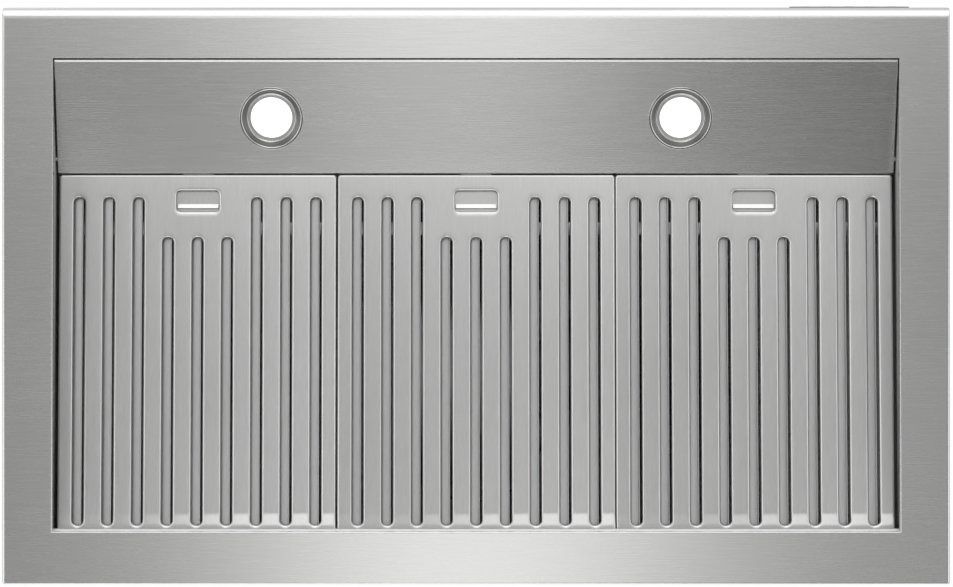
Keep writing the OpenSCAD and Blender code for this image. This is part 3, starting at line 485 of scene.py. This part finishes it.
def rolled(radius, degrees, rise):
    """Roll of an edge through the given angles: distance outside the edge, and height."""
    end = math.sin(math.radians(degrees[-1]))
    return [(radius * (end - math.sin(a)), rise + radius * (1 - math.cos(a)))
            for a in map(math.radians, degrees)]


# Rim round a hole: distance outside the hole's edge, and height
ROLL_R = 2.1
SLOT_RIMS = [(4.4, 0.0), (3.6, 0.02), (2.8, 0.06), (2.1, 0.08)]
SLOT_RIMS += rolled(ROLL_R, (8, 16, 24, 32, 40, 48, 55, 62), 0.08)
SLOT_RIMS += [(-0.55, SLOT_RIM - 0.04)]
FINGER_RIM = [(3.2, 0.0), (2.5, 0.02)] + rolled(2.6, (8, 16, 24, 32, 40, 48, 56), 0.04)
# How much longer the rolled rim is at the rear ends of the slots
REAR_EXTRA = 1.3

# The drawn step in front of the rear edge: where it lies, its depth, and the shares of its
# length that ease in and out
DENT_START = FILTER_L - 36.0
DENT_END = FILTER_L - 21.5
DENT_DEPTH = 2.4
DENT_IN = 0.3
DENT_OUT = 0.15

# Points along the slots' sides and the pan's sides, as fractions from the rear, close where
# the step is
SLOT_CUTS = (0.006, 0.012, 0.018, 0.024, 0.03, 0.036, 0.05, 0.1, 0.3, 0.5, 0.7, 0.85, 0.95)
SIDE_CUTS = (0.02, 0.04, 0.052, 0.059, 0.066, 0.073, 0.08, 0.087, 0.094, 0.11, 0.2, 0.4, 0.6,
             0.8, 0.95)
FRONT_CUTS = (0.25, 0.5, 0.75)
PAN_BEND = 2.4
PAN_CORNER = 3.0


def rear_dent(x, y):
    """Slow rise of the face toward the rear and its drawn step, deeper on the right."""
    depth = DENT_DEPTH * (0.3 + 0.7 * min(1.0, max(0.0, (x + 80.0) / 150.0)))
    if y < DENT_START:
        return depth * max(0.0, y / DENT_START) ** 2
    if y > DENT_END:
        return 0.0
    t = (y - DENT_START) / (DENT_END - DENT_START)
    if t < DENT_IN:
        run = t * t / (2 * DENT_IN)
    elif t < 1 - DENT_OUT:
        run = t - DENT_IN / 2
    else:
        run = 1 - DENT_IN / 2 - DENT_OUT / 2 - (1 - t) ** 2 / (2 * DENT_OUT)
    return depth * (1.0 - run / (1 - DENT_IN / 2 - DENT_OUT / 2))


def rear_stretch(pts, cy, hy, r, d):
    """Widens the rolled rim at a slot's rear end."""
    edge = cy + hy - r
    extra = REAR_EXTRA * min(1.0, max(0.0, d) / ROLL_R)
    return [(x, y + extra * max(0.0, y - edge) / r, z) for x, y, z in pts]


def ringed(bm, outlines):
    """Strip of faces through a row of outlines, whose first ring is returned."""
    rings = []
    for pts in outlines:
        rings.append(add_ring(bm, pts))
        if len(rings) > 1:
            bridge(bm, rings[-2], rings[-1])
    return rings[0]


def pan_side(bm):
    """Bent edge and side wall of the pan."""
    hx, hy = FILTER_W / 2, FILTER_L / 2
    bend = [(PAN_BEND - PAN_BEND * math.sin(a), PAN_BEND - PAN_BEND * math.cos(a))
            for a in map(math.radians, range(0, 91, 15))]
    return ringed(bm, (
        loop_points(0, hy, hx - d, hy - d, PAN_CORNER - min(d, 1.5), z, 5, FRONT_CUTS, SIDE_CUTS)
        for d, z in bend + [(0.0, FILTER_T - 1.0), (0.0, FILTER_T)]))


def slot_hole(bm, i):
    """Rolled rim of a slot."""
    start = SHORT_MARGIN if is_short(i) else SLOT_MARGIN
    r, cy = SLOT_W / 2, (start + FILTER_L - SLOT_MARGIN) / 2
    hy = (FILTER_L - SLOT_MARGIN - start) / 2
    return ringed(bm, (rear_stretch(
        loop_points(slot_x(i), cy, r + d, hy + d, r + d, z, 10, (), SLOT_CUTS), cy, hy + d, r + d, d)
        for d, z in SLOT_RIMS))


def finger_hole(bm):
    """Rolled rim of the hole over the latch."""
    hx, hy, cy = FINGER_W / 2, FINGER_L / 2, FINGER_START + FINGER_L / 2
    return ringed(bm, (rear_stretch(
        loop_points(0.0, cy, hx + d, hy + d, FINGER_R + d, z, 6, (0.33, 0.66)),
        cy, hy + d, FINGER_R + d, d) for d, z in FINGER_RIM))


def dent_points():
    """Points of the flat face that carry the drawn step: between the slots and behind them."""
    hx = FILTER_W / 2
    columns = [(i - SLOT_MIDDLE - 0.5) * SLOT_PITCH + dx
               for i in range(SLOT_COUNT + 1) for dx in (-2.9, 0.0, 2.9)]
    rows = [DENT_START - 1.0 + 1.6 * k for k in range(14)]
    pts = [(x, y, 0.0) for x in columns if abs(x) < hx - 3.5 for y in rows]
    return pts + [(-hx + 6.0 + (2 * hx - 12.0) * k / 18, y, 0.0) for k in range(19)
                  for y in (FILTER_L - 14.4, FILTER_L - 12.0, FILTER_L - 6.0)]


def cut_latch_gate(bm):
    """Opening in the pan's front wall through which the latch slides out."""
    half, low, high = LATCH_GATE_W / 2, LATCH_LIFT - 0.4, LATCH_LIFT + 1.4
    for co, no in (((half, 0, 0), (1, 0, 0)), ((-half, 0, 0), (1, 0, 0)),
                   ((0, 0, low), (0, 0, 1)), ((0, 0, high), (0, 0, 1))):
        geom = set()
        for f in bm.faces:
            if all(abs(v.co.y) < 0.01 and v.co.z > 1.9 for v in f.verts):
                geom.update((f, *f.edges, *f.verts))
        bmesh.ops.bisect_plane(bm, geom=list(geom), plane_co=co, plane_no=no, dist=0.001)
    gone = [f for f in bm.faces if all(abs(v.co.y) < 0.01 for v in f.verts)
            and abs(f.calc_center_median().x) < half and low < f.calc_center_median().z < high]
    bmesh.ops.delete(bm, geom=gone, context="FACES")


def filter_mesh(side):
    bm = bmesh.new()
    outer = pan_side(bm)
    holes = [slot_hole(bm, i) for i in range(SLOT_COUNT)] + [finger_hole(bm)]
    fill_between(bm, [outer] + holes, dent_points())
    for v in bm.verts:
        if v.co.z < FILTER_T / 2:
            v.co.z += rear_dent(v.co.x, v.co.y)
    cut_latch_gate(bm)
    return finish_mesh("filter_sheet_" + side, bm, filter_place(side), 50)


for side in SIDES:
    sheet = piece("filter_sheet_" + side, filter_mesh(side), FILTER_STEEL, "filter_" + side,
                  ("filter_" + side,))
    solidify(sheet, FILTER_SHEET)
    weighted(sheet)


# ---- Baffle channels behind the slots ----

def channel_profile():
    """Closed outline of one channel in x and z: side walls, and a low ceiling with raised edges."""
    left, right, low, top = -10.4, 3.4, FILTER_T - 7.4, FILTER_T
    t, r = 0.8, 1.5
    corner = [(r - r * math.cos(a), r * math.sin(a) - r)
              for a in map(math.radians, (18, 36, 54, 72, 90))]
    outer = [(left, low + 0.3), (left, top - r)] + [(left + x, top + z) for x, z in corner]
    outer += [(right - x, top + z) for x, z in reversed(corner)]
    outer += [(right, top - r), (right, low + 0.3)]
    inner = [(left + 0.25, low), (left + t, low), (left + t, 9.6), (-6.9, 9.6), (-6.2, 9.42),
             (-5.5, 9.25), (-4.8, 9.11), (-4.2, 9.03), (-3.6, 9.0), (1.6, 9.0), (2.1, 9.1),
             (right - t, 9.3), (right - t, low)]
    return outer + [(right - 0.25, low)] + inner[::-1]


BAR_L = 12


def baffle_mesh(side):
    """Channels over the slots, and the three cross bars that join them."""
    bm = bmesh.new()
    profile = channel_profile()
    rear = FILTER_L - FILTER_SHEET
    for i in range(SLOT_COUNT):
        front = LATCH_ROOM if is_short(i) else FILTER_SHEET
        rings = [add_ring(bm, [(slot_x(i) + x, y, z) for x, z in profile]) for y in (front, rear)]
        loft(bm, rings)
    inner, half = FILTER_W / 2 - FILTER_SHEET, BAR_L / 2
    for y in (FILTER_SHEET, LATCH_ROOM, rear - BAR_L):
        loft(bm, [add_ring(bm, loop_points(0, y + half, inner - d, half - d, 0.6, FILTER_T - z, 3))
                  for d, z in ((0.2, 0.7), (0.0, 0.55), (0.0, 0.15), (0.2, 0.0))])
    return finish_mesh("filter_baffles_" + side, bm, filter_place(side), 40)


for side in SIDES:
    piece("filter_baffles_" + side, baffle_mesh(side), BAFFLE, "filter_" + side,
          ("baffles_" + side,))


# ---- Latches and their springs ----

def shallow_lip(side):
    """Eases the finger lip's slope by half a millimetre, so that its face looks out of the hole."""
    ease = 0.5

    def edit(bm):
        place = filter_place(side)
        back = place.inverted()
        for v in bm.verts:
            p = back @ (v.co / MM)
            if p.z < LATCH_LIFT - 2.2:
                p.z += ease
            elif p.z < LATCH_LIFT + 0.1 and 28.5 < p.y < 29.5:
                p.y -= ease
            v.co = (place @ p) * MM
    return edit


for side in SIDES:
    softened("latch_" + side, "latch_plate_" + side, 0.25, LATCH_STEEL,
             angle=15, edit=shallow_lip(side))


def add_coil(bm, p0, p1):
    """Adds a spring between two points, with its end turns closed."""
    axis = (p1 - p0).normalized()
    u = axis.orthogonal().normalized()
    v = axis.cross(u)
    length = (p1 - p0).length
    steps = SPRING_TURNS * 16
    path = []
    for i in range(steps + 1):
        t = i / steps
        a = 2 * math.pi * SPRING_TURNS * t
        run = min(1.0, max(0.0, (t - 0.09) / 0.82))
        centre = p0 + axis * (SPRING_WIRE / 2 + (length - SPRING_WIRE) * run)
        path.append(centre + SPRING_R * (math.cos(a) * u + math.sin(a) * v))
    rings = []
    for i, p in enumerate(path):
        tangent = (path[min(i + 1, steps)] - path[max(i - 1, 0)]).normalized()
        across = axis.cross(tangent).normalized()
        up = tangent.cross(across)
        rings.append(add_ring(bm, [p + SPRING_WIRE / 2 * (math.cos(b) * across + math.sin(b) * up)
                                   for b in (k * math.pi / 4 for k in range(8))]))
    loft(bm, rings)


for side in SIDES:
    place = filter_place(side)
    bm = bmesh.new()
    for x in (-SLOT_PITCH / 2, SLOT_PITCH / 2):
        add_coil(bm, *(place @ Vector((x, y, LATCH_LIFT)) for y in (SPRING_START, SPRING_END)))
    coils = piece("latch_coils_" + side, finish_mesh("latch_coils_" + side, bm, None, 80), BRIGHT,
                  "filter_" + side, ("latch_springs_" + side,))
    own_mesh(coils)


# ---- Lamps ----

def panel_place():
    """Place of the light panel: its front edge, tilted up to the ridge."""
    return (Matrix.Translation((0, PANEL_Y, PANEL_H))
            @ Matrix.Rotation(PANEL_TILT, 4, "X"))


def turned(profile, steps=64):
    """Surface of revolution about z of a list of radius and height."""
    bm = bmesh.new()
    rings = []
    for r, z in profile:
        if r < 1e-6:
            rings.append([bm.verts.new((0, 0, z))])
        else:
            turns = [2 * math.pi * k / steps for k in range(steps)]
            rings.append(add_ring(bm, [(r * math.cos(a), r * math.sin(a), z) for a in turns]))
    for a, b in zip(rings, rings[1:]):
        if len(a) == 1 or len(b) == 1:
            tip, ring = (a[0], b) if len(a) == 1 else (b[0], a)
            for k in range(steps):
                bm.faces.new((tip, ring[k], ring[(k + 1) % steps]))
        else:
            bridge(bm, a, b)
    return bm


def arc(cx, cz, r, a0, a1, n):
    """Points of an arc from angle a0 to a1, in degrees."""
    return [(cx + r * math.cos(math.radians(a0 + (a1 - a0) * i / n)),
             cz + r * math.sin(math.radians(a0 + (a1 - a0) * i / n))) for i in range(n + 1)]


def trim_profile():
    """Trim ring: a rolled lip, a groove, a second lip, a dished wall, and the lens's seat."""
    return ([(28.6, 0.9), (28.6, 0.0), (30.8, 0.0)]
            + arc(30.55, -0.5, 0.45, 40, -110, 7)
            + [(30.25, -0.5), (30.15, 0.3), (29.65, 0.3), (29.6, -0.6)]
            + arc(29.0, -0.85, 0.6, 10, -150, 8)
            + [(27.6, -0.75), (26.8, -0.35), (25.9, 0.15), (25.1, 0.7), (24.4, 1.1)]
            + arc(23.6, 1.75, 0.7, -60, -180, 7)
            + [(22.8, 2.15), (22.5, 2.45), (22.0, 2.6), (21.0, 2.66), (20.3, 2.74), (20.1, 3.0),
               (20.0, LAMP_RECESS), (25.6, LAMP_RECESS), (26.2, 3.1), (28.2, 1.5), (28.6, 0.9)])


# Lens with a low dome and its flange
LENS_PROFILE = ((0.0, 2.62), (5.0, 2.63), (10.0, 2.67), (14.5, 2.72), (18.4, 2.8), (19.4, 3.0),
                (19.8, 3.4), (19.85, LAMP_RECESS), (21.9, LAMP_RECESS), (21.9, 5.1), (0.0, 5.1))
# Parts of the trim with their own material, by radius: a painted shade on the dish and the groove, and
# painted light on the lens's seat
PAINTED_SHADE_RADII = ((24.2, 28.5), (29.6, 30.22))
PAINTED_LIGHT_RADIUS = 22.9

for sign, side in ((-1, "left"), (1, "right")):
    place = panel_place() @ Matrix.Translation((sign * LAMP_X, LAMP_POS, 0))
    me = finish_mesh("lamp_trim_" + side, turned(trim_profile()), place, 40)
    trim = piece("lamp_trim_" + side, me, LAMP_STEEL, "hood", ("lamp_ring_" + side,))
    me.materials.append(LAMP_DISH_SHADE)
    me.materials.append(LAMP_SEAT_LIGHT)
    centre = place.translation * MM
    # The dish and the groove get the painted shade, and the lens's seat gets the painted light
    for f in me.polygons:
        away = (f.center - centre).length / MM
        if any(r0 < away < r1 for r0, r1 in PAINTED_SHADE_RADII):
            f.material_index = 1
        elif away < PAINTED_LIGHT_RADIUS:
            f.material_index = 2
    weighted(trim)
    piece("lamp_glass_" + side, finish_mesh("lamp_glass_" + side, turned(LENS_PROFILE), place, 30),
          LENS, "hood", ("lamp_lens_" + side,))
    softened("lamp_body_" + side, "lamp_housing_" + side, 0.25, CAST)

softened("lamp_clips", "lamp_spring_clips", 0.12, BRIGHT)
softened("led_driver", "lamp_driver", 0.8, BLACK, 3)


# ---- Hood body ----

# Folds are the edges that turn by more than this, in radians
FOLD_ANGLE = 0.6
# How close a corner lies to the edge or plane that it is looked for on, in millimetres
NEAR = 0.02


def fold(bm, radius, segments, wanted=None):
    """Rounds the folds, or those whose two ends, in millimetres, pass a test."""
    edges = [e for e in bm.edges if e.calc_face_angle(0.0) > FOLD_ANGLE
             and (wanted is None or wanted(*(v.co / MM for v in e.verts)))]
    bmesh.ops.bevel(bm, geom=edges, offset=radius * MM, offset_type="OFFSET", segments=segments,
                    profile=0.5, affect="EDGES", clamp_overlap=True)


def cut_across(bm, *places):
    """Cuts the mesh into strips at places along y, in millimetres."""
    for y in places:
        geom = bm.verts[:] + bm.edges[:] + bm.faces[:]
        bmesh.ops.bisect_plane(bm, geom=geom, plane_co=(0, y * MM, 0), plane_no=(0, 1, 0), dist=1e-6)


def on_mouth(*ends):
    """True for the opening's edges at the sides and the rear."""
    if max(p.y for p in ends) < 0.1 - OPEN_Y:
        return False
    return all(abs(p.z) < NEAR and abs(p.x) < OPEN_X + 0.05 and abs(p.y) < OPEN_Y + 0.05
               for p in ends)


def on_panel_edge(*ends):
    back = panel_place().inverted()
    return all(abs((back @ p).z) < 0.05 for p in ends)


PANEL_FOLD = 1.6
PANEL_DROP = 0.42
PANEL_DROP_L = 2.4
PANEL_END = 405.0
PANEL_WIDER = 0.9


def wide_panel(bm):
    """Folds the light panel's edges, draws its front down and its ends out to the side walls."""
    fold(bm, PANEL_FOLD, 5, on_panel_edge)
    cut_across(bm, PANEL_Y + PANEL_DROP_L / 2, PANEL_Y + PANEL_DROP_L)
    for v in bm.verts:
        y, z = v.co.y / MM - PANEL_Y, v.co.z / MM
        if y < PANEL_DROP_L - 0.1 and PANEL_H - 1.0 < z < PANEL_H + 2.0:
            v.co.z -= PANEL_DROP * (PANEL_DROP_L - max(0.0, y)) * MM
    for v in bm.verts:
        if abs(v.co.x) / MM > PANEL_END:
            v.co.x += math.copysign(PANEL_WIDER * MM, v.co.x)


REAR_HEM_IN = 1.3
HEM_FOLD = 1.7
RIM_EDGE = 0.3


def rolled_mouth(bm):
    """Rolls the opening's edges, the rear one drawn in a little; nothing goes below the underside."""
    for v in bm.verts:
        if abs(v.co.y / MM - OPEN_Y) < NEAR and abs(v.co.x) / MM < OPEN_X + 0.05:
            v.co.y -= REAR_HEM_IN * MM
    fold(bm, HEM_FOLD, 5, on_mouth)
    fold(bm, RIM_EDGE, 2)
    for v in bm.verts:
        v.co.z = max(v.co.z, 0.0)


LEDGE_STEP = 0.7
LEDGE_STEP_DROP = 0.35
LEDGE_LIP_DROP = 1.1


def slanted_lip(bm):
    """Draws the ledge's visible front edge down to a slanted lip in front of the hem."""
    lip_y = OPEN_Y - 0.2
    cut_across(bm, LEDGE_Y + LEDGE_STEP, lip_y, OPEN_Y - 0.1)
    for v in bm.verts:
        y, lower = v.co.y / MM, v.co.z / MM < LEDGE_TOP
        if abs(y - LEDGE_Y) < NEAR:
            v.co.y -= LEDGE_STEP * MM
            if lower:
                v.co.z -= LEDGE_STEP_DROP * MM
        elif abs(y - lip_y) < NEAR and lower:
            v.co.z -= LEDGE_LIP_DROP * MM


softened("bottom_frame", "rim_frame", 0.0, UNDERSIDE_X, edit=rolled_mouth)
softened("canopy", "canopy_shell", 0.5, SHELL_X, angle=25)
softened("back_panel", "back_sheet", 0.3, ZINC)
softened("top_plate", "deck_plate", 0.3, ZINC)
softened("side_wall_left", "inner_wall_left", 0.35, INNER)
softened("side_wall_right", "inner_wall_right", 0.35, INNER)
softened("rear_ledge", "rear_shelf", 0.0, LEDGE_STEEL, edit=slanted_lip)
# Painted shade: the rail shows black through the gap in front of the filters
softened("ridge_rail", "ridge_channel", 0.3, RAIL_SHADE)
softened("light_panel", "lamp_panel", 0.25, UNDERSIDE_X, edit=wide_panel)
softened("panel_spacers", "panel_spacer_pins", 0.4, BRIGHT)
softened("lower_chimney", "chimney_lower", 0.4, SHELL_Z)
softened("upper_chimney", "chimney_upper", 0.35, SHELL_Z)
softened("chimney_bracket", "wall_bracket", 0.3, ZINC)
softened("control_bezel", "control_plate", 0.3, BLACK)
softened("switch_block", "switch_case", 0.5, BLACK)
for i in range(1, 6):
    softened("button_%d" % i, "push_button_%d" % i, 0.35, BUTTON, 3)


# ---- Blower, duct and wiring ----

def seal_strip(bm):
    """Thin strip under the rod, which closes the slit between the two flaps."""
    half_l, half_w, heights = 74.0, 6.0, (286.6, 287.2)
    loft(bm, [add_ring(bm, [Vector(p) * MM
                            for p in loop_points(0.0, DAMPER_Y, half_l, half_w, 1.0, z, 3)])
              for z in heights])
    bmesh.ops.recalc_face_normals(bm, faces=bm.faces)


softened("blower_scroll", "scroll_band", 0.3, ZINC, angle=30)
softened("blower_side_left", "scroll_side_inlet", 0.35, ZINC)
softened("blower_side_right", "scroll_side_motor", 0.35, ZINC)
softened("impeller", "fan_wheel", 0.0, ZINC)
softened("motor_shaft", "fan_shaft", 0.4, BRIGHT)
softened("motor", "fan_motor", 0.5, CAST)
softened("capacitor", "run_capacitor", 2.5, WHITE, 4)
softened("duct_collar", "duct_spigot", 0.4, BLACK)
softened("damper_front", "damper_flap_front", 0.25, ZINC)
softened("damper_back", "damper_flap_back", 0.25, ZINC)
softened("damper_pin", "damper_rod", 0.3, BRIGHT, edit=seal_strip)
softened("junction_box", "wiring_box", 0.3, ZINC)
softened("junction_cover", "wiring_box_lid", 0.3, ZINC)
softened("cable_gland", "inlet_gland", 0.4, BLACK)
softened("collar_screws", "spigot_screws", 0.2, SCREW)
softened("chimney_screws", "chimney_screw_set", 0.2, SCREW)


# ---- Stage, camera and light ----

FLOOR_R = 12.0
FLOOR_Z = -0.46
CARD_X = (-3.2, 3.2)
CARD_Y = (-2.0, 4.4)
CARD_Z = -3.75


def stage_sheet(name, material, pts, hidden_from):
    """Flat sheet of the stage, hidden from some kinds of rays."""
    bm = bmesh.new()
    bm.faces.new(add_ring(bm, pts))
    me = bpy.data.meshes.new(name)
    bm.to_mesh(me)
    bm.free()
    me.materials.append(material)
    o = link(bpy.data.objects.new(name, me))
    for rays in hidden_from:
        setattr(o, "visible_" + rays, False)


def stage_floor():
    """Pale floor, which isn't there for a camera below it."""
    m, nt, out = empty_material("stage_floor")
    paint = node(nt, "ShaderNodeBsdfDiffuse", {"Color": (0.86, 0.86, 0.86, 1.0)})
    clear = node(nt, "ShaderNodeBsdfTransparent")
    below = node(nt, "ShaderNodeNewGeometry").outputs["Backfacing"]
    mix = node(nt, "ShaderNodeMixShader", {0: below, 1: paint.outputs[0], 2: clear.outputs[0]})
    nt.links.new(mix.outputs[0], out.inputs[0])
    turns = [k * math.pi / 32 for k in range(64)]
    pts = [(FLOOR_R * math.cos(a), FLOOR_R * math.sin(a), FLOOR_Z) for a in turns]
    stage_sheet("stage_floor", m, pts, ("diffuse", "glossy", "shadow"))


def ramp(nt, value, start, stop, low=0.0, high=1.0):
    """Smooth step of a value between two levels."""
    return node(nt, "ShaderNodeMapRange", {
        "Value": value, "From Min": start, "From Max": stop, "To Min": low, "To Max": high},
        interpolation_type="SMOOTHSTEP").outputs[0]


def blend(nt, a, b, factor):
    return node(nt, "ShaderNodeMix", {0: factor, 2: a, 3: b}).outputs[0]


def card_level(nt, base, *shares):
    """A base level and the given shares of some soft shapes."""
    total = base
    for shape, share in shares:
        total = maths(nt, "ADD", maths(nt, "MULTIPLY", shape, share), total)
    return total


def grey_card():
    """Studio card under the hood that only its metal shows: grey, with soft bright areas.

    The flange mirrors the card at 2.17 times its own x and y, the filters 0.51 m farther to the
    front, and the light panel from 1.8 to 2.05 m to the rear.
    """
    m, nt, out = empty_material("grey_card")
    split = node(nt, "ShaderNodeSeparateXYZ", {0: node(nt, "ShaderNodeTexCoord").outputs["Object"]})
    x, y = split.outputs[0], split.outputs[1]
    from_middle = maths(nt, "ABSOLUTE", x, 0.0)
    bell = ramp(nt, maths(nt, "ABSOLUTE", maths(nt, "SUBTRACT", x, 0.02), 0.0), 0.0, 0.72, 1.0, 0.0)
    right = ramp(nt, x, 0.3, 0.7)
    left_end = ramp(nt, x, -0.64, -0.55, 1.0, 0.0)
    level = ramp(nt, from_middle, 0.8, 1.6, 2.0, 0.76)
    # What follows along y, and from where to where it takes over
    for part, start, stop in (
            (card_level(nt, 0.07, (bell, 1.95), (right, 0.1)), -1.45, -0.6),
            (card_level(nt, 0.29, (bell, 0.62)), -0.6, -0.3),
            (card_level(nt, 0.43, (bell, 2.3), (right, 0.14)), 0.0, 0.4),
            (card_level(nt, 0.0, (ramp(nt, from_middle, 0.0, 0.5, 1.0, 0.0), 1.05),
                        (left_end, 0.29)), 1.0, 1.4),
            (1.2, 3.0, 3.4)):
        level = blend(nt, level, part, ramp(nt, y, start, stop))
    level = blend(nt, level, 1.0, ramp(nt, from_middle, 2.2, 3.2))
    glow = node(nt, "ShaderNodeEmission", {"Color": (1, 1, 1, 1), "Strength": level})
    nt.links.new(glow.outputs[0], out.inputs[0])
    (x0, x1), (y0, y1) = CARD_X, CARD_Y
    pts = [(x0, y0, CARD_Z), (x1, y0, CARD_Z), (x1, y1, CARD_Z), (x0, y1, CARD_Z)]
    stage_sheet("grey_card", m, pts, ("camera", "diffuse", "transmission", "shadow"))


stage_floor()
grey_card()

# Straight below the hood, as in the photograph
camera = link(bpy.data.objects.new("camera", bpy.data.cameras.new("camera")))
camera.location = (-0.0349, -0.0018, -3.2)
camera.rotation_euler = (math.pi, 0.0, 0.0)
camera.data.sensor_width = 36.0
camera.data.lens = 125.4
camera.data.shift_x = 0.0383
camera.data.clip_end = 100.0
bpy.context.scene.camera = camera

# The world is white where it is seen or mirrored, and a soft light elsewhere
world = bpy.data.worlds.new("studio")
bpy.context.scene.world = world
world.use_nodes = True
nt = world.node_tree
nt.nodes.clear()
path = nt.nodes.new("ShaderNodeLightPath")
seen = maths(nt, "MAXIMUM", path.outputs["Is Camera Ray"],
             maths(nt, "MAXIMUM", path.outputs["Is Glossy Ray"], path.outputs["Is Transmission Ray"]))
soft = node(nt, "ShaderNodeBackground", {"Color": (1, 1, 1, 1), "Strength": 0.4})
white = node(nt, "ShaderNodeBackground", {"Color": (1, 1, 1, 1), "Strength": 1.0})
mixed = node(nt, "ShaderNodeMixShader", {0: seen, 1: soft.outputs[0], 2: white.outputs[0]})
out = nt.nodes.new("ShaderNodeOutputWorld")
nt.links.new(mixed.outputs[0], out.inputs[0])


def softbox(name, place, target, size, power):
    """Area light at a place in metres that faces a target, with its power in watts."""
    data = bpy.data.lights.new(name, "AREA")
    data.shape = "RECTANGLE"
    data.size, data.size_y = size
    data.energy = power
    o = link(bpy.data.objects.new(name, data))
    o.location = place
    o.rotation_mode = "QUATERNION"
    o.rotation_quaternion = (Vector(target) - Vector(place)).to_track_quat("-Z", "Y")
    o.visible_camera = False


UNDERSIDE = (0.0, 0.0, 0.0)
CANOPY = (0.0, 0.0, 0.4)
softbox("front_low", (0.0, -3.1, -2.1), UNDERSIDE, (3.2, 2.4), 33)
softbox("front_face", (0.0, -3.4, -0.3), UNDERSIDE, (3.2, 1.4), 13)
softbox("left_low", (-3.3, 0.0, -2.2), UNDERSIDE, (3.0, 2.2), 27)
softbox("right_low", (3.3, 0.0, -2.2), UNDERSIDE, (3.0, 2.2), 20)
softbox("back_low", (-0.3, 3.4, -1.6), UNDERSIDE, (1.8, 2.0), 18)
softbox("key_above", (-2.2, -2.6, 2.9), CANOPY, (3.0, 3.0), 20)
softbox("fill_above", (2.8, -1.6, 2.0), CANOPY, (3.0, 3.0), 9)
softbox("back_above", (0.6, 2.8, 2.4), CANOPY, (3.2, 3.0), 13)

bpy.context.scene.view_settings.view_transform = "Standard"
